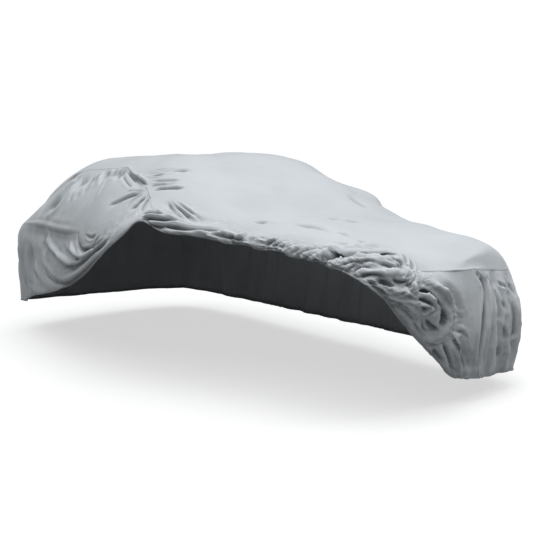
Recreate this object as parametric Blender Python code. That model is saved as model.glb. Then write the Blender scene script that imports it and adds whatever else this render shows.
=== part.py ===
"""Fitted car cover, pulled up off the near front corner: five sewn panels of one thin cloth.

+Z is up, the front of the cover faces -Y and its lifted side faces -X. The origin is the
mount: the point under the roof of the cloth that rests on what the cover protects.
"""

from collections import namedtuple

import bpy
import numpy as np

# ---------------------------------------------------------------- sizes, in metres
CLOTH = 0.002           # thickness of the cloth
SEAM_GAP = 0.0003       # between two panels that are sewn together
MOUNT_HEIGHT = 1.500    # height of the mount above the ground; the tables count from the ground

# Steps that each stretch between two rows of a table is cut into.
SIDE_STEPS = [6, 7, 4]          # seam to belt, belt to side, side to hem
TOP_STEPS = [4, 3, 3, 4]        # near seam to far seam
LENGTH_STEPS = [2, 3, 5, 6, 6, 6, 4, 3, 4, 3, 2, 3, 3, 3, 3, 3, 4, 10]     # tail to front

# ---------------------------------------------------------------- form of the cover
# One row for each section of the half that hangs straight, from the tail forwards. A pair is
# a half width and a height. The last two are the near side's own, where the hem climbs.
Section = namedtuple("Section", "y crown shoulder seam belt side hem near_side near_hem")
SECTIONS = [
    Section(2.08, 1.200, (0.60, 1.165), (0.735, 1.060), (0.845, 0.945), (0.930, 0.58),
            (0.870, 0.17), (0.905, 0.550), (0.880, 0.270)),
    Section(1.83, 1.290, (0.60, 1.272), (0.740, 1.113), (0.925, 0.985), (0.975, 0.58),
            (0.920, 0.16), (0.955, 0.640), (0.930, 0.320)),
    Section(1.48, 1.440, (0.52, 1.415), (0.662, 1.290), (0.940, 1.005), (0.995, 0.58),
            (0.940, 0.15), (0.972, 0.690), (0.955, 0.392)),
    Section(1.10, 1.524, (0.43, 1.504), (0.600, 1.418), (0.950, 1.008), (1.000, 0.58),
            (0.950, 0.15), (0.982, 0.730), (0.980, 0.447)),
    Section(0.70, 1.518, (0.40, 1.498), (0.585, 1.435), (0.957, 1.002), (1.000, 0.58),
            (0.950, 0.15), (0.990, 0.760), (0.988, 0.510)),
    Section(0.25, 1.508, (0.40, 1.488), (0.580, 1.437), (0.960, 0.996), (1.000, 0.58),
            (0.950, 0.15), (0.995, 0.810), (0.995, 0.612)),
    Section(-0.03, 1.500, (0.40, 1.482), (0.580, 1.420), (0.960, 0.995), (1.000, 0.58),
            (0.950, 0.15), (0.992, 0.850), (0.995, 0.695)),
]

# The tail edge, and the rows from the end of the roof to the front edge, where the near side
# is pulled up and lies bunched. Each row names eleven points across the cover.
Girth = namedtuple("Girth", "near_hem near_side near_belt near_seam near_shoulder centre "
                            "far_shoulder far_seam far_belt far_side far_hem")
TAIL = Girth(
    (-0.885, 2.26, 0.262), (-0.872, 2.31, 0.500), (-0.755, 2.32, 0.885), (-0.660, 2.36, 1.030),
    (-0.40, 2.45, 1.070), (0.00, 2.48, 1.085), (0.40, 2.45, 1.070), (0.660, 2.36, 1.030),
    (0.80, 2.34, 0.880), (0.86, 2.33, 0.560), (0.80, 2.27, 0.180))
LIFTED = [
    Girth((-0.995, -0.28, 0.790), (-0.985, -0.25, 0.900), (-0.955, -0.22, 1.000),
          (-0.610, -0.20, 1.365), (-0.450, -0.27, 1.450), (0.00, -0.42, 1.485),
          (0.47, -0.32, 1.470), (0.600, -0.22, 1.432), (0.96, -0.20, 1.000),
          (1.00, -0.20, 0.580), (0.95, -0.20, 0.150)),
    Girth((-0.985, -0.56, 0.915), (-0.975, -0.53, 0.965), (-0.945, -0.50, 1.030),
          (-0.660, -0.49, 1.305), (-0.480, -0.56, 1.375), (0.00, -0.70, 1.410),
          (0.50, -0.60, 1.412), (0.645, -0.50, 1.382), (0.96, -0.50, 1.000),
          (1.00, -0.50, 0.580), (0.95, -0.50, 0.150)),
    Girth((-0.950, -0.765, 1.005), (-0.925, -0.75, 1.060), (-0.860, -0.73, 1.120),
          (-0.715, -0.69, 1.235), (-0.500, -0.80, 1.300), (0.00, -0.95, 1.310),
          (0.50, -0.85, 1.322), (0.735, -0.72, 1.243), (1.075, -0.74, 1.112),
          (1.00, -0.75, 0.580), (0.95, -0.75, 0.150)),
    Girth((-0.880, -0.874, 1.092), (-0.865, -0.87, 1.105), (-0.830, -0.87, 1.135),
          (-0.765, -0.85, 1.170), (-0.520, -1.00, 1.215), (0.00, -1.17, 1.210),
          (0.54, -1.08, 1.222), (0.760, -0.95, 1.160), (0.97, -0.96, 1.010),
          (1.00, -1.00, 0.570), (0.95, -1.00, 0.150)),
    Girth((-0.800, -1.020, 1.028), (-0.805, -1.01, 1.055), (-0.785, -1.00, 1.088),
          (-0.735, -1.00, 1.125), (-0.500, -1.20, 1.120), (0.00, -1.38, 1.090),
          (0.57, -1.28, 1.110), (0.820, -1.13, 1.075), (0.95, -1.18, 0.955),
          (0.99, -1.25, 0.560), (0.94, -1.25, 0.150)),
    Girth((-0.690, -1.262, 1.003), (-0.715, -1.260, 1.026), (-0.690, -1.245, 1.046),
          (-0.640, -1.23, 1.062), (-0.430, -1.39, 1.055), (0.05, -1.57, 1.045),
          (0.60, -1.50, 1.020), (0.900, -1.35, 0.950), (0.98, -1.40, 0.850),
          (1.00, -1.45, 0.540), (0.94, -1.45, 0.145)),
    Girth((-0.570, -1.583, 0.957), (-0.592, -1.585, 0.978), (-0.565, -1.58, 0.997),
          (-0.500, -1.58, 1.010), (-0.310, -1.70, 1.005), (0.12, -1.82, 0.990),
          (0.68, -1.73, 0.970), (0.950, -1.60, 0.890), (1.00, -1.65, 0.790),
          (1.00, -1.70, 0.500), (0.94, -1.70, 0.140)),
    Girth((-0.470, -1.981, 0.911), (-0.488, -1.975, 0.932), (-0.465, -1.95, 0.954),
          (-0.400, -1.93, 0.968), (-0.200, -2.02, 0.955), (0.20, -2.09, 0.935),
          (0.76, -1.96, 0.912), (0.970, -1.84, 0.800), (1.01, -1.88, 0.690),
          (1.02, -1.92, 0.450), (0.95, -1.90, 0.135)),
    Girth((-0.380, -2.311, 0.848), (-0.398, -2.303, 0.877), (-0.360, -2.27, 0.907),
          (-0.290, -2.24, 0.920), (-0.080, -2.27, 0.900), (0.25, -2.31, 0.870),
          (0.77, -2.17, 0.878), (0.960, -2.08, 0.765), (1.00, -2.10, 0.620),
          (1.02, -2.13, 0.390), (0.962, -2.12, 0.115)),
    Girth((-0.320, -2.500, 0.765), (-0.260, -2.52, 0.810), (-0.160, -2.49, 0.860),
          (-0.060, -2.40, 0.895), (0.060, -2.38, 0.870), (0.29, -2.41, 0.830),
          (0.80, -2.235, 0.836), (0.895, -2.25, 0.722), (0.930, -2.29, 0.580),
          (0.928, -2.31, 0.290), (0.892, -2.28, 0.108)),
    Girth((-0.220, -2.520, 0.680), (-0.130, -2.60, 0.720), (-0.050, -2.57, 0.780),
          (0.000, -2.500, 0.800), (0.13, -2.50, 0.792), (0.26, -2.49, 0.782),
          (0.38, -2.47, 0.773), (0.480, -2.45, 0.762), (0.485, -2.485, 0.611),
          (0.440, -2.51, 0.413), (0.465, -2.45, 0.144)),
]

# Columns that hang from the front seam and from the tail seam, between their corners.
Drop = namedtuple("Drop", "belt side hem")
FRONT_DROPS = [
    Drop((0.06, -2.60, 0.720), (0.00, -2.61, 0.620), (-0.09, -2.53, 0.510)),
    Drop((0.22, -2.55, 0.640), (0.17, -2.56, 0.470), (0.12, -2.50, 0.310)),
    Drop((0.38, -2.50, 0.610), (0.34, -2.51, 0.400), (0.31, -2.43, 0.165)),
]
REAR_DROPS = [
    Drop((-0.42, 2.52, 0.860), (-0.44, 2.54, 0.560), (-0.42, 2.45, 0.220)),
    Drop((0.00, 2.55, 0.860), (0.00, 2.57, 0.560), (0.00, 2.48, 0.200)),
    Drop((0.42, 2.52, 0.860), (0.44, 2.54, 0.560), (0.42, 2.45, 0.190)),
]

# ---------------------------------------------------------------- main folds
# A fold runs from its start towards its bend and on to its end, in the view that its group
# names: "yz" from the side, "xy" from above, "xz" from the front. The width is across one
# flank, and the height is negative for a trough.
Fold = namedtuple("Fold", "start bend end width height")
Group = namedtuple("Group", "panel view behind before folds")

PUCKERS = Group("near", "yz", 3.0, -0.84, [     # gathered at the roof seam, over the side
    Fold((1.04, 1.400), (1.44, 1.340), (1.31, 1.110), 0.052, -0.026),
    Fold((0.90, 1.400), (0.97, 1.330), (1.02, 1.140), 0.048, -0.024),
    Fold((0.78, 1.370), (0.70, 1.290), (0.59, 1.240), 0.044, -0.020),
    Fold((0.66, 1.390), (0.56, 1.360), (0.50, 1.290), 0.040, -0.018),
    Fold((0.39, 1.420), (0.34, 1.400), (0.25, 1.370), 0.040, -0.012),
    Fold((0.14, 1.420), (0.06, 1.390), (-0.04, 1.360), 0.040, -0.014),
    Fold((-0.02, 1.410), (-0.21, 1.330), (-0.43, 1.310), 0.042, -0.020),
    Fold((-0.15, 1.370), (-0.31, 1.340), (-0.46, 1.310), 0.036, -0.016),
    Fold((-0.53, 1.270), (-0.38, 1.230), (-0.24, 1.180), 0.034, -0.018),
    Fold((-0.63, 1.240), (-0.67, 1.180), (-0.63, 1.160), 0.034, -0.020),
    Fold((-0.68, 1.230), (-0.73, 1.170), (-0.78, 1.140), 0.032, -0.018),
])
SWAGS = Group("near", "yz", 3.0, -0.84, [       # hanging from the shoulder to the caught-up hem
    Fold((0.11, 0.970), (-0.04, 0.770), (-0.35, 0.970), 0.048, -0.026),
    Fold((0.29, 0.930), (0.01, 0.690), (-0.39, 0.970), 0.050, 0.026),
    Fold((0.43, 0.870), (-0.01, 0.690), (-0.43, 0.980), 0.048, -0.028),
    Fold((0.88, 0.910), (0.20, 0.590), (-0.47, 0.960), 0.060, 0.032),
    Fold((0.90, 0.840), (0.16, 0.570), (-0.54, 0.970), 0.050, -0.030),
    Fold((1.00, 0.710), (0.23, 0.490), (-0.61, 0.960), 0.058, 0.030),
    Fold((1.12, 0.690), (0.25, 0.400), (-0.63, 0.960), 0.048, -0.024),
    Fold((1.35, 0.730), (1.05, 0.480), (0.68, 0.540), 0.060, 0.024),
    Fold((1.02, 0.900), (0.98, 0.850), (0.94, 0.800), 0.075, -0.022),
    Fold((1.38, 0.820), (1.60, 0.640), (1.32, 0.500), 0.090, -0.034),
    Fold((1.74, 0.880), (1.86, 0.640), (1.66, 0.380), 0.085, 0.024),
    Fold((2.02, 0.820), (2.10, 0.600), (1.98, 0.340), 0.075, -0.020),
])
BUNCH = Group("near", "xz", -2.12, -3.0, [      # pushed together at the front
    Fold((-0.44, 0.880), (-0.24, 0.945), (-0.07, 0.892), 0.034, -0.024),
    Fold((-0.38, 0.862), (-0.20, 0.915), (-0.05, 0.862), 0.030, 0.016),
    Fold((-0.36, 0.842), (-0.20, 0.868), (-0.03, 0.836), 0.030, -0.020),
    Fold((-0.34, 0.822), (-0.19, 0.820), (-0.03, 0.802), 0.030, 0.018),
    Fold((-0.32, 0.802), (-0.19, 0.745), (-0.05, 0.765), 0.030, -0.022),
    Fold((-0.31, 0.778), (-0.20, 0.740), (-0.12, 0.700), 0.026, 0.014),
])
BAND = Group("near", "xy", -0.84, -2.12, [      # lying along the raised hem
    Fold((-0.60, -1.46), (-0.58, -1.52), (-0.50, -1.62), 0.045, 0.020),
    Fold((-0.61, -1.58), (-0.55, -1.66), (-0.46, -1.74), 0.042, -0.020),
    Fold((-0.56, -1.72), (-0.50, -1.82), (-0.42, -1.88), 0.042, 0.024),
    Fold((-0.53, -1.86), (-0.47, -1.96), (-0.40, -2.02), 0.042, -0.026),
    Fold((-0.49, -2.00), (-0.43, -2.10), (-0.34, -2.14), 0.042, 0.022),
])
CREASES = Group("top", "xy", 3.0, -3.0, [       # drawn from the lifted side over the top
    Fold((-0.57, -0.27), (-0.50, -0.44), (-0.39, -0.65), 0.040, -0.016),
    Fold((-0.63, -0.55), (-0.60, -0.62), (-0.55, -0.72), 0.036, -0.012),
    Fold((-0.66, -0.64), (-0.61, -0.72), (-0.54, -0.83), 0.036, -0.014),
    Fold((-0.69, -0.88), (-0.67, -1.02), (-0.61, -1.21), 0.045, -0.018),
    Fold((-0.34, -1.38), (-0.30, -1.46), (-0.23, -1.53), 0.040, -0.012),
    Fold((-0.20, -1.48), (-0.10, -1.72), (0.00, -1.92), 0.045, -0.014),
    Fold((0.78, -0.84), (0.70, -0.98), (0.62, -1.12), 0.060, -0.016),
])
POUCH = Group("front", "xz", 3.0, -3.0, [       # where the pushed cloth hangs down at the front
    Fold((-0.02, 0.770), (0.30, 0.560), (0.04, 0.420), 0.060, 0.040),
    Fold((0.06, 0.770), (0.46, 0.560), (0.12, 0.360), 0.055, -0.030),
    Fold((-0.04, 0.730), (0.08, 0.690), (0.11, 0.600), 0.036, -0.034),
    Fold((-0.10, 0.600), (0.00, 0.560), (0.06, 0.480), 0.036, -0.026),
    Fold((0.21, 0.460), (0.27, 0.380), (0.31, 0.270), 0.034, 0.022),
    Fold((0.27, 0.440), (0.34, 0.330), (0.42, 0.200), 0.034, -0.020),
])
GATHERS = Group("far", "xz", -2.12, -3.0, [     # from the front seam down round the far corner
    Fold((0.59, 0.710), (0.54, 0.450), (0.56, 0.130), 0.042, 0.026),
    Fold((0.64, 0.700), (0.60, 0.450), (0.66, 0.150), 0.042, -0.026),
    Fold((0.71, 0.690), (0.68, 0.450), (0.73, 0.130), 0.046, 0.026),
    Fold((0.79, 0.680), (0.75, 0.450), (0.80, 0.150), 0.046, -0.026),
    Fold((0.86, 0.670), (0.84, 0.450), (0.87, 0.130), 0.046, 0.014),
])
SHOULDERS = Group("far", "yz", 3.0, -2.06, [    # slack between the shoulder and the hem
    Fold((1.90, 0.880), (1.84, 0.560), (1.90, 0.180), 0.110, -0.024),
    Fold((1.30, 0.900), (1.22, 0.560), (1.28, 0.170), 0.120, 0.022),
    Fold((0.62, 0.900), (0.56, 0.560), (0.60, 0.170), 0.130, -0.024),
    Fold((-0.10, 0.900), (-0.14, 0.560), (-0.10, 0.170), 0.120, 0.020),
    Fold((-0.72, 1.060), (-0.60, 0.640), (-0.68, 0.180), 0.100, -0.024),
    Fold((-1.20, 0.860), (-1.26, 0.560), (-1.20, 0.170), 0.120, 0.022),
    Fold((-1.76, 0.760), (-1.72, 0.480), (-1.78, 0.160), 0.100, -0.024),
])
REAR_FOLDS = Group("rear", "xz", 3.0, -3.0, [
    Fold((-0.52, 0.960), (-0.58, 0.600), (-0.54, 0.250), 0.090, -0.024),
    Fold((-0.16, 0.980), (-0.20, 0.600), (-0.18, 0.230), 0.100, 0.020),
    Fold((0.30, 0.980), (0.26, 0.600), (0.30, 0.220), 0.100, -0.022),
    Fold((0.62, 0.940), (0.64, 0.600), (0.62, 0.230), 0.080, 0.018),
])
FOLD_GROUPS = [PUCKERS, SWAGS, BUNCH, BAND, CREASES, POUCH, GATHERS, SHOULDERS, REAR_FOLDS]
FOLD_CHORDS = 10        # straight pieces that a fold's line is measured along
FOLD_FADE = 0.18        # share of its length over which a fold starts and ends
GROUP_FADE = 0.05       # length over which a group of folds starts and ends
NEAR_HEM_SHARE = 0.25   # share of the folds left at the near side's hem, which lies stretched

# ---------------------------------------------------------------- panels
Panel = namedtuple("Panel", "name flipped colour")
PANELS = {
    "top": Panel("top_panel", False, (0.62, 0.64, 0.65)),
    "near": Panel("near_side_panel", True, (0.50, 0.52, 0.53)),
    "far": Panel("far_side_panel", False, (0.50, 0.52, 0.53)),
    "front": Panel("front_panel", True, (0.48, 0.50, 0.51)),
    "rear": Panel("rear_panel", False, (0.48, 0.50, 0.51)),
}
CLOTH_ROUGHNESS = 0.85


def section_points(row):
    """The eleven points of a section of the half that hangs straight."""
    def at(side, pair):
        return (side * pair[0], row.y, pair[1])
    return Girth(at(-1, row.near_hem), at(-1, row.near_side), at(-1, row.belt),
                 at(-1, row.seam), at(-1, row.shoulder), (0.0, row.y, row.crown),
                 at(1, row.shoulder), at(1, row.seam), at(1, row.belt), at(1, row.side),
                 at(1, row.hem))


def smooth(points, steps):
    """Curve through the points along the first axis, with so many steps to each stretch."""
    points = np.asarray(points, float)
    chord = np.linalg.norm(np.diff(points, axis=0), axis=-1, keepdims=True) + 1e-9
    slope = np.diff(points, axis=0) / chord
    tangent = np.empty_like(points)
    tangent[0] = slope[0]
    tangent[-1] = slope[-1]
    tangent[1:-1] = ((slope[:-1] * chord[1:] + slope[1:] * chord[:-1])
                     / (chord[1:] + chord[:-1]))
    curve = []
    for i, count in enumerate(steps):
        for k in range(count):
            t = k / count
            curve.append(points[i] * (2 * t**3 - 3 * t**2 + 1)
                         + tangent[i] * chord[i] * (t**3 - 2 * t**2 + t)
                         + points[i + 1] * (3 * t**2 - 2 * t**3)
                         + tangent[i + 1] * chord[i] * (t**3 - t**2))
    curve.append(points[-1])
    return np.array(curve)


def smooth_net(net, row_steps, column_steps):
    """Smooth grid of points through a net of rows and columns."""
    rows = smooth(net, row_steps)
    return np.swapaxes(smooth(np.swapaxes(rows, 0, 1), column_steps), 0, 1)


def hanging_panel(edge, drops, first, last, top_steps, side_steps):
    """Grid of a panel that hangs from an edge of the top, between two corner columns."""
    knots = np.cumsum([0] + top_steps)
    net = [edge[knots]]
    for part in range(len(Drop._fields)):
        middle = [drop[part] for drop in drops]
        net.append([first[part]] + middle + [last[part]])
    return smooth_net(np.swapaxes(np.array(net), 0, 1), top_steps, side_steps)


def form(side_steps=SIDE_STEPS, top_steps=TOP_STEPS, length_steps=LENGTH_STEPS):
    """Middle surface of each panel as a grid of points, before its folds."""
    rows = [TAIL] + [section_points(row) for row in SECTIONS] + LIFTED
    girths = smooth_net(np.array(rows), length_steps, side_steps[::-1] + top_steps + side_steps)
    near_seam = sum(side_steps)
    far_seam = near_seam + sum(top_steps)
    near = girths[:, near_seam::-1]
    top = girths[:, near_seam:far_seam + 1]
    far = girths[:, far_seam:]

    def corners(row):
        return ((row.near_belt, row.near_side, row.near_hem),
                (row.far_belt, row.far_side, row.far_hem))

    front = hanging_panel(top[-1], FRONT_DROPS, *corners(LIFTED[-1]), top_steps, side_steps)
    rear = hanging_panel(top[0], REAR_DROPS, *corners(TAIL), top_steps, side_steps)
    for panel, end in ((front, -1), (rear, 0)):
        panel[:, 0] = top[end]
        panel[0] = near[end]
        panel[-1] = far[end]
    return {"top": top, "near": near, "far": far, "front": front, "rear": rear}


def fold_height(points, group):
    """How far the folds of a group lift each point off the plain form."""
    axes = ["xyz".index(letter) for letter in group.view]
    flat = points[..., axes]
    lift = np.zeros(flat.shape[:-1])
    for fold in group.folds:
        t = np.linspace(0, 1, FOLD_CHORDS + 1)[:, None]
        start, bend, end = (np.array(p) for p in (fold.start, fold.bend, fold.end))
        line = start * (1 - t)**2 + bend * 2 * t * (1 - t) + end * t**2
        nearest = np.full(lift.shape, np.inf)
        place = np.zeros(lift.shape)
        for i in range(FOLD_CHORDS):
            along = line[i + 1] - line[i]
            s = np.clip((flat - line[i]) @ along / (along @ along), 0, 1)
            distance = np.linalg.norm(flat - line[i] - s[..., None] * along, axis=-1)
            closer = distance < nearest
            nearest = np.where(closer, distance, nearest)
            place = np.where(closer, (i + s) / FOLD_CHORDS, place)
        across = np.clip(nearest / fold.width, 0, 1)
        fade = np.clip(np.minimum(place, 1 - place) / FOLD_FADE, 0, 1)
        lift += fold.height * (0.5 + 0.5 * np.cos(np.pi * across)) * (0.25 + 0.75 * fade)
    reach = np.minimum(group.behind - points[..., 1], points[..., 1] - group.before)
    return lift * np.clip(reach / GROUP_FADE, 0, 1)


def weld(grids):
    """All points once, and for each panel the grid of their numbers."""
    flat = np.concatenate([grid.reshape(-1, 3) for grid in grids.values()])
    points, number = np.unique(flat.round(6), axis=0, return_inverse=True)
    number = number.reshape(-1)
    numbers = {}
    first = 0
    for key, grid in grids.items():
        last = first + grid.shape[0] * grid.shape[1]
        numbers[key] = number[first:last].reshape(grid.shape[:2])
        first = last
    return points, numbers


def quads(numbers, flipped):
    """Faces of a grid, wound so that they look outwards."""
    faces = np.stack([numbers[:-1, :-1], numbers[1:, :-1], numbers[1:, 1:], numbers[:-1, 1:]],
                     axis=-1).reshape(-1, 4)
    return faces[:, ::-1] if flipped else faces


def normals(points, numbers):
    """Outward normal of the whole cover at each point, shared by the panels that meet there."""
    total = np.zeros_like(points)
    for key, grid in numbers.items():
        faces = quads(grid, PANELS[key].flipped)
        a, b, c, d = (points[faces[:, i]] for i in range(4))
        face_normal = np.cross(c - a, d - b)
        for i in range(4):
            np.add.at(total, faces[:, i], face_normal)
    return total / np.linalg.norm(total, axis=1, keepdims=True)


def folded(grids, side_steps=SIDE_STEPS):
    """The welded cover with its main folds raised."""
    points, numbers = weld(grids)
    outward = normals(points, numbers)
    lift = np.zeros(len(points))
    for group in FOLD_GROUPS:
        used = np.unique(numbers[group.panel][:, 1:]) if group.panel != "top" else \
            np.unique(numbers["top"][:, 1:-1])
        lift[used] += fold_height(points[used], group)
    near = numbers["near"]
    from_hem = np.arange(near.shape[1])[::-1] / side_steps[-1]
    slack = np.ones(len(points))
    slack[near] = NEAR_HEM_SHARE + (1 - NEAR_HEM_SHARE) * np.clip(from_hem, 0, 1)
    points = points + outward * (lift * slack)[:, None]
    return points, numbers


def seam_edges(key):
    """Edges of a panel's grid that are sewn: first or last line, along rows or columns."""
    if key == "top":
        return [("row", 0), ("row", -1), ("column", 0), ("column", -1)]
    return [("row", 0), ("row", -1), ("column", 0)]


def pulled_back(grid, outward, key):
    """The panel's points, with half a seam gap left along every sewn edge."""
    moved = grid.copy()
    for kind, end in seam_edges(key):
        view = grid if kind == "row" else np.swapaxes(grid, 0, 1)
        facing = outward if kind == "row" else np.swapaxes(outward, 0, 1)
        target = moved if kind == "row" else np.swapaxes(moved, 0, 1)
        edge = view[end]
        inner = view[1 if end == 0 else -2]
        tangent = np.gradient(edge, axis=0)
        inward = np.cross(tangent, facing[end])
        inward /= np.linalg.norm(inward, axis=1, keepdims=True)
        side = np.sign(np.sum(inward * (inner - edge), axis=1, keepdims=True))
        target[end] += inward * side * SEAM_GAP / 2
    return moved


def triangles(middle, faces):
    """Each face split along its shorter diagonal, so that both sides of the cloth fold alike."""
    a, b, c, d = (middle[faces[:, i]] for i in range(4))
    first = np.linalg.norm(a - c, axis=1) <= np.linalg.norm(b - d, axis=1)
    split = np.where(first[:, None], faces[:, [0, 1, 2, 0, 2, 3]], faces[:, [1, 2, 3, 1, 3, 0]])
    return split.reshape(-1, 3)


def shell(name, grid, outward, flipped):
    """Closed solid of the cloth's thickness about a grid of points."""
    rows, columns = grid.shape[:2]
    count = rows * columns
    middle = grid.reshape(-1, 3)
    outer = (grid + outward * CLOTH / 2).reshape(-1, 3)
    inner = (grid - outward * CLOTH / 2).reshape(-1, 3)
    numbers = np.arange(count).reshape(rows, columns)
    outside = triangles(middle, quads(numbers, flipped))
    faces = outside.tolist() + (outside[:, ::-1] + count).tolist()
    loop = np.concatenate([numbers[:, 0], numbers[-1, 1:], numbers[-2::-1, -1],
                           numbers[0, -2:0:-1]])
    if not flipped:
        loop = loop[::-1]
    for a, b in zip(loop, np.roll(loop, -1)):
        faces.append([int(a), int(b), int(b) + count, int(a) + count])
    mesh = bpy.data.meshes.new(name)
    mesh.from_pydata(np.concatenate([outer, inner]).tolist(), [], faces)
    mesh.update()
    mesh.shade_smooth()
    mesh.set_sharp_from_angle(angle=1.0)
    return mesh


def cloth_material(name, colour):
    """Matt woven cloth of one colour."""
    material = bpy.data.materials.new(name)
    material.use_nodes = True
    shader = material.node_tree.nodes["Principled BSDF"]
    shader.inputs["Base Color"].default_value = (*colour, 1.0)
    shader.inputs["Roughness"].default_value = CLOTH_ROUGHNESS
    shader.inputs["Metallic"].default_value = 0.0
    return material


def build():
    """Make the five panels in an empty scene."""
    for old in list(bpy.data.objects):
        bpy.data.objects.remove(old, do_unlink=True)
    points, numbers = folded(form())
    outward = normals(points, numbers)
    points = points - np.array([0.0, 0.0, MOUNT_HEIGHT])
    for key, panel in PANELS.items():
        grid = points[numbers[key]]
        facing = outward[numbers[key]]
        mesh = shell(panel.name, pulled_back(grid, facing, key), facing, panel.flipped)
        mesh.materials.append(cloth_material(panel.name + "_cloth", panel.colour))
        bpy.context.scene.collection.objects.link(bpy.data.objects.new(panel.name, mesh))


if __name__ == "__main__":
    build()
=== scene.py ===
"""Looks of the fitted car cover: cloth, folds, seams, hem, floor, light and camera.

+Z is up, the front of the cover faces -Y and its lifted side faces -X. Lengths are in metres.
The cloth's form and main folds are those of its solids, with the same tables. Its finer creases
run through pixels of the photograph, in the table CREASES_SEEN, and are carried onto that form.
"""

from collections import namedtuple

import bpy
import numpy as np
from mathutils import Matrix, Vector


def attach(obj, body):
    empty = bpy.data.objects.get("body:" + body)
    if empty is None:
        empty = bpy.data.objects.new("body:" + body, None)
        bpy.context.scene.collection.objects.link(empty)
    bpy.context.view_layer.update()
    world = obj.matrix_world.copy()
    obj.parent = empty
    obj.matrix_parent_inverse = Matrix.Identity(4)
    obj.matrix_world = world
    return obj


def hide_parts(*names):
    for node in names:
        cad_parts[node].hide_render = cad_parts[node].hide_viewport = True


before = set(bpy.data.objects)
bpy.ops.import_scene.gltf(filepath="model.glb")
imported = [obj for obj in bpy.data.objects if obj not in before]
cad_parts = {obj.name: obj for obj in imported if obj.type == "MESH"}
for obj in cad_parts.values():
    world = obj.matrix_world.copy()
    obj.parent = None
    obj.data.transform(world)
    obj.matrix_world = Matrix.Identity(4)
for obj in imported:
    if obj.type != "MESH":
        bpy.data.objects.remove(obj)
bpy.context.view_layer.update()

# ---- sizes, in metres
CLOTH = 0.002           # thickness of the cloth
MOUNT_HEIGHT = 1.500    # height of the origin above the ground; the tables count from the ground

# Steps that each stretch between two rows of a table is cut into.
SIDE_STEPS = [36, 24, 16]       # seam to belt, belt to side, side to hem
TOP_STEPS = [34, 20, 12, 14]    # near seam to far seam
LENGTH_STEPS = [30, 28, 38, 36, 36, 40, 30, 32, 30, 28, 24, 24, 28, 36, 38, 36, 38, 58]

HEM_ROLL = 0.006        # radius of the hem, which is rolled round its elastic
HEM_STEPS = 7           # points round the roll
HEM_ARC = (-0.30, 1.30)     # where the roll starts and ends, in half turns from facing outwards
HEM_SUNK = 0.9          # radii from the end of the sheet down to the middle of the roll
HEM_SHORT = 1.8         # radii by which the sheet ends short of the hem
SEAM_WIDTH = 0.014      # across a felled seam
SEAM_RISE = 0.0014      # how far a felled seam stands proud
SEAM_SUNK = 0.0006      # how far a seam's strip reaches into the cloth
SEAM_SHARES = (0.5, 0.44, 0.22)     # widths from the seam's middle to the points of its section

# ---- form of the cover
# One row for each section of the half that hangs straight, from the tail forwards. A pair is
# a half width and a height. The last two are the near side's own, where the hem climbs.
Section = namedtuple("Section", "y crown shoulder seam belt side hem near_side near_hem")
SECTIONS = [
    Section(2.08, 1.200, (0.60, 1.165), (0.735, 1.060), (0.845, 0.945), (0.930, 0.58),
            (0.870, 0.17), (0.905, 0.550), (0.880, 0.270)),
    Section(1.83, 1.290, (0.60, 1.272), (0.740, 1.113), (0.925, 0.985), (0.975, 0.58),
            (0.920, 0.16), (0.955, 0.640), (0.930, 0.320)),
    Section(1.48, 1.440, (0.52, 1.415), (0.662, 1.290), (0.940, 1.005), (0.995, 0.58),
            (0.940, 0.15), (0.972, 0.690), (0.955, 0.392)),
    Section(1.10, 1.524, (0.43, 1.504), (0.600, 1.418), (0.950, 1.008), (1.000, 0.58),
            (0.950, 0.15), (0.982, 0.730), (0.980, 0.447)),
    Section(0.70, 1.518, (0.40, 1.498), (0.585, 1.435), (0.957, 1.002), (1.000, 0.58),
            (0.950, 0.15), (0.990, 0.760), (0.988, 0.510)),
    Section(0.25, 1.508, (0.40, 1.488), (0.580, 1.437), (0.960, 0.996), (1.000, 0.58),
            (0.950, 0.15), (0.995, 0.810), (0.995, 0.612)),
    Section(-0.03, 1.500, (0.40, 1.482), (0.580, 1.420), (0.960, 0.995), (1.000, 0.58),
            (0.950, 0.15), (0.992, 0.850), (0.995, 0.695)),
]

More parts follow.
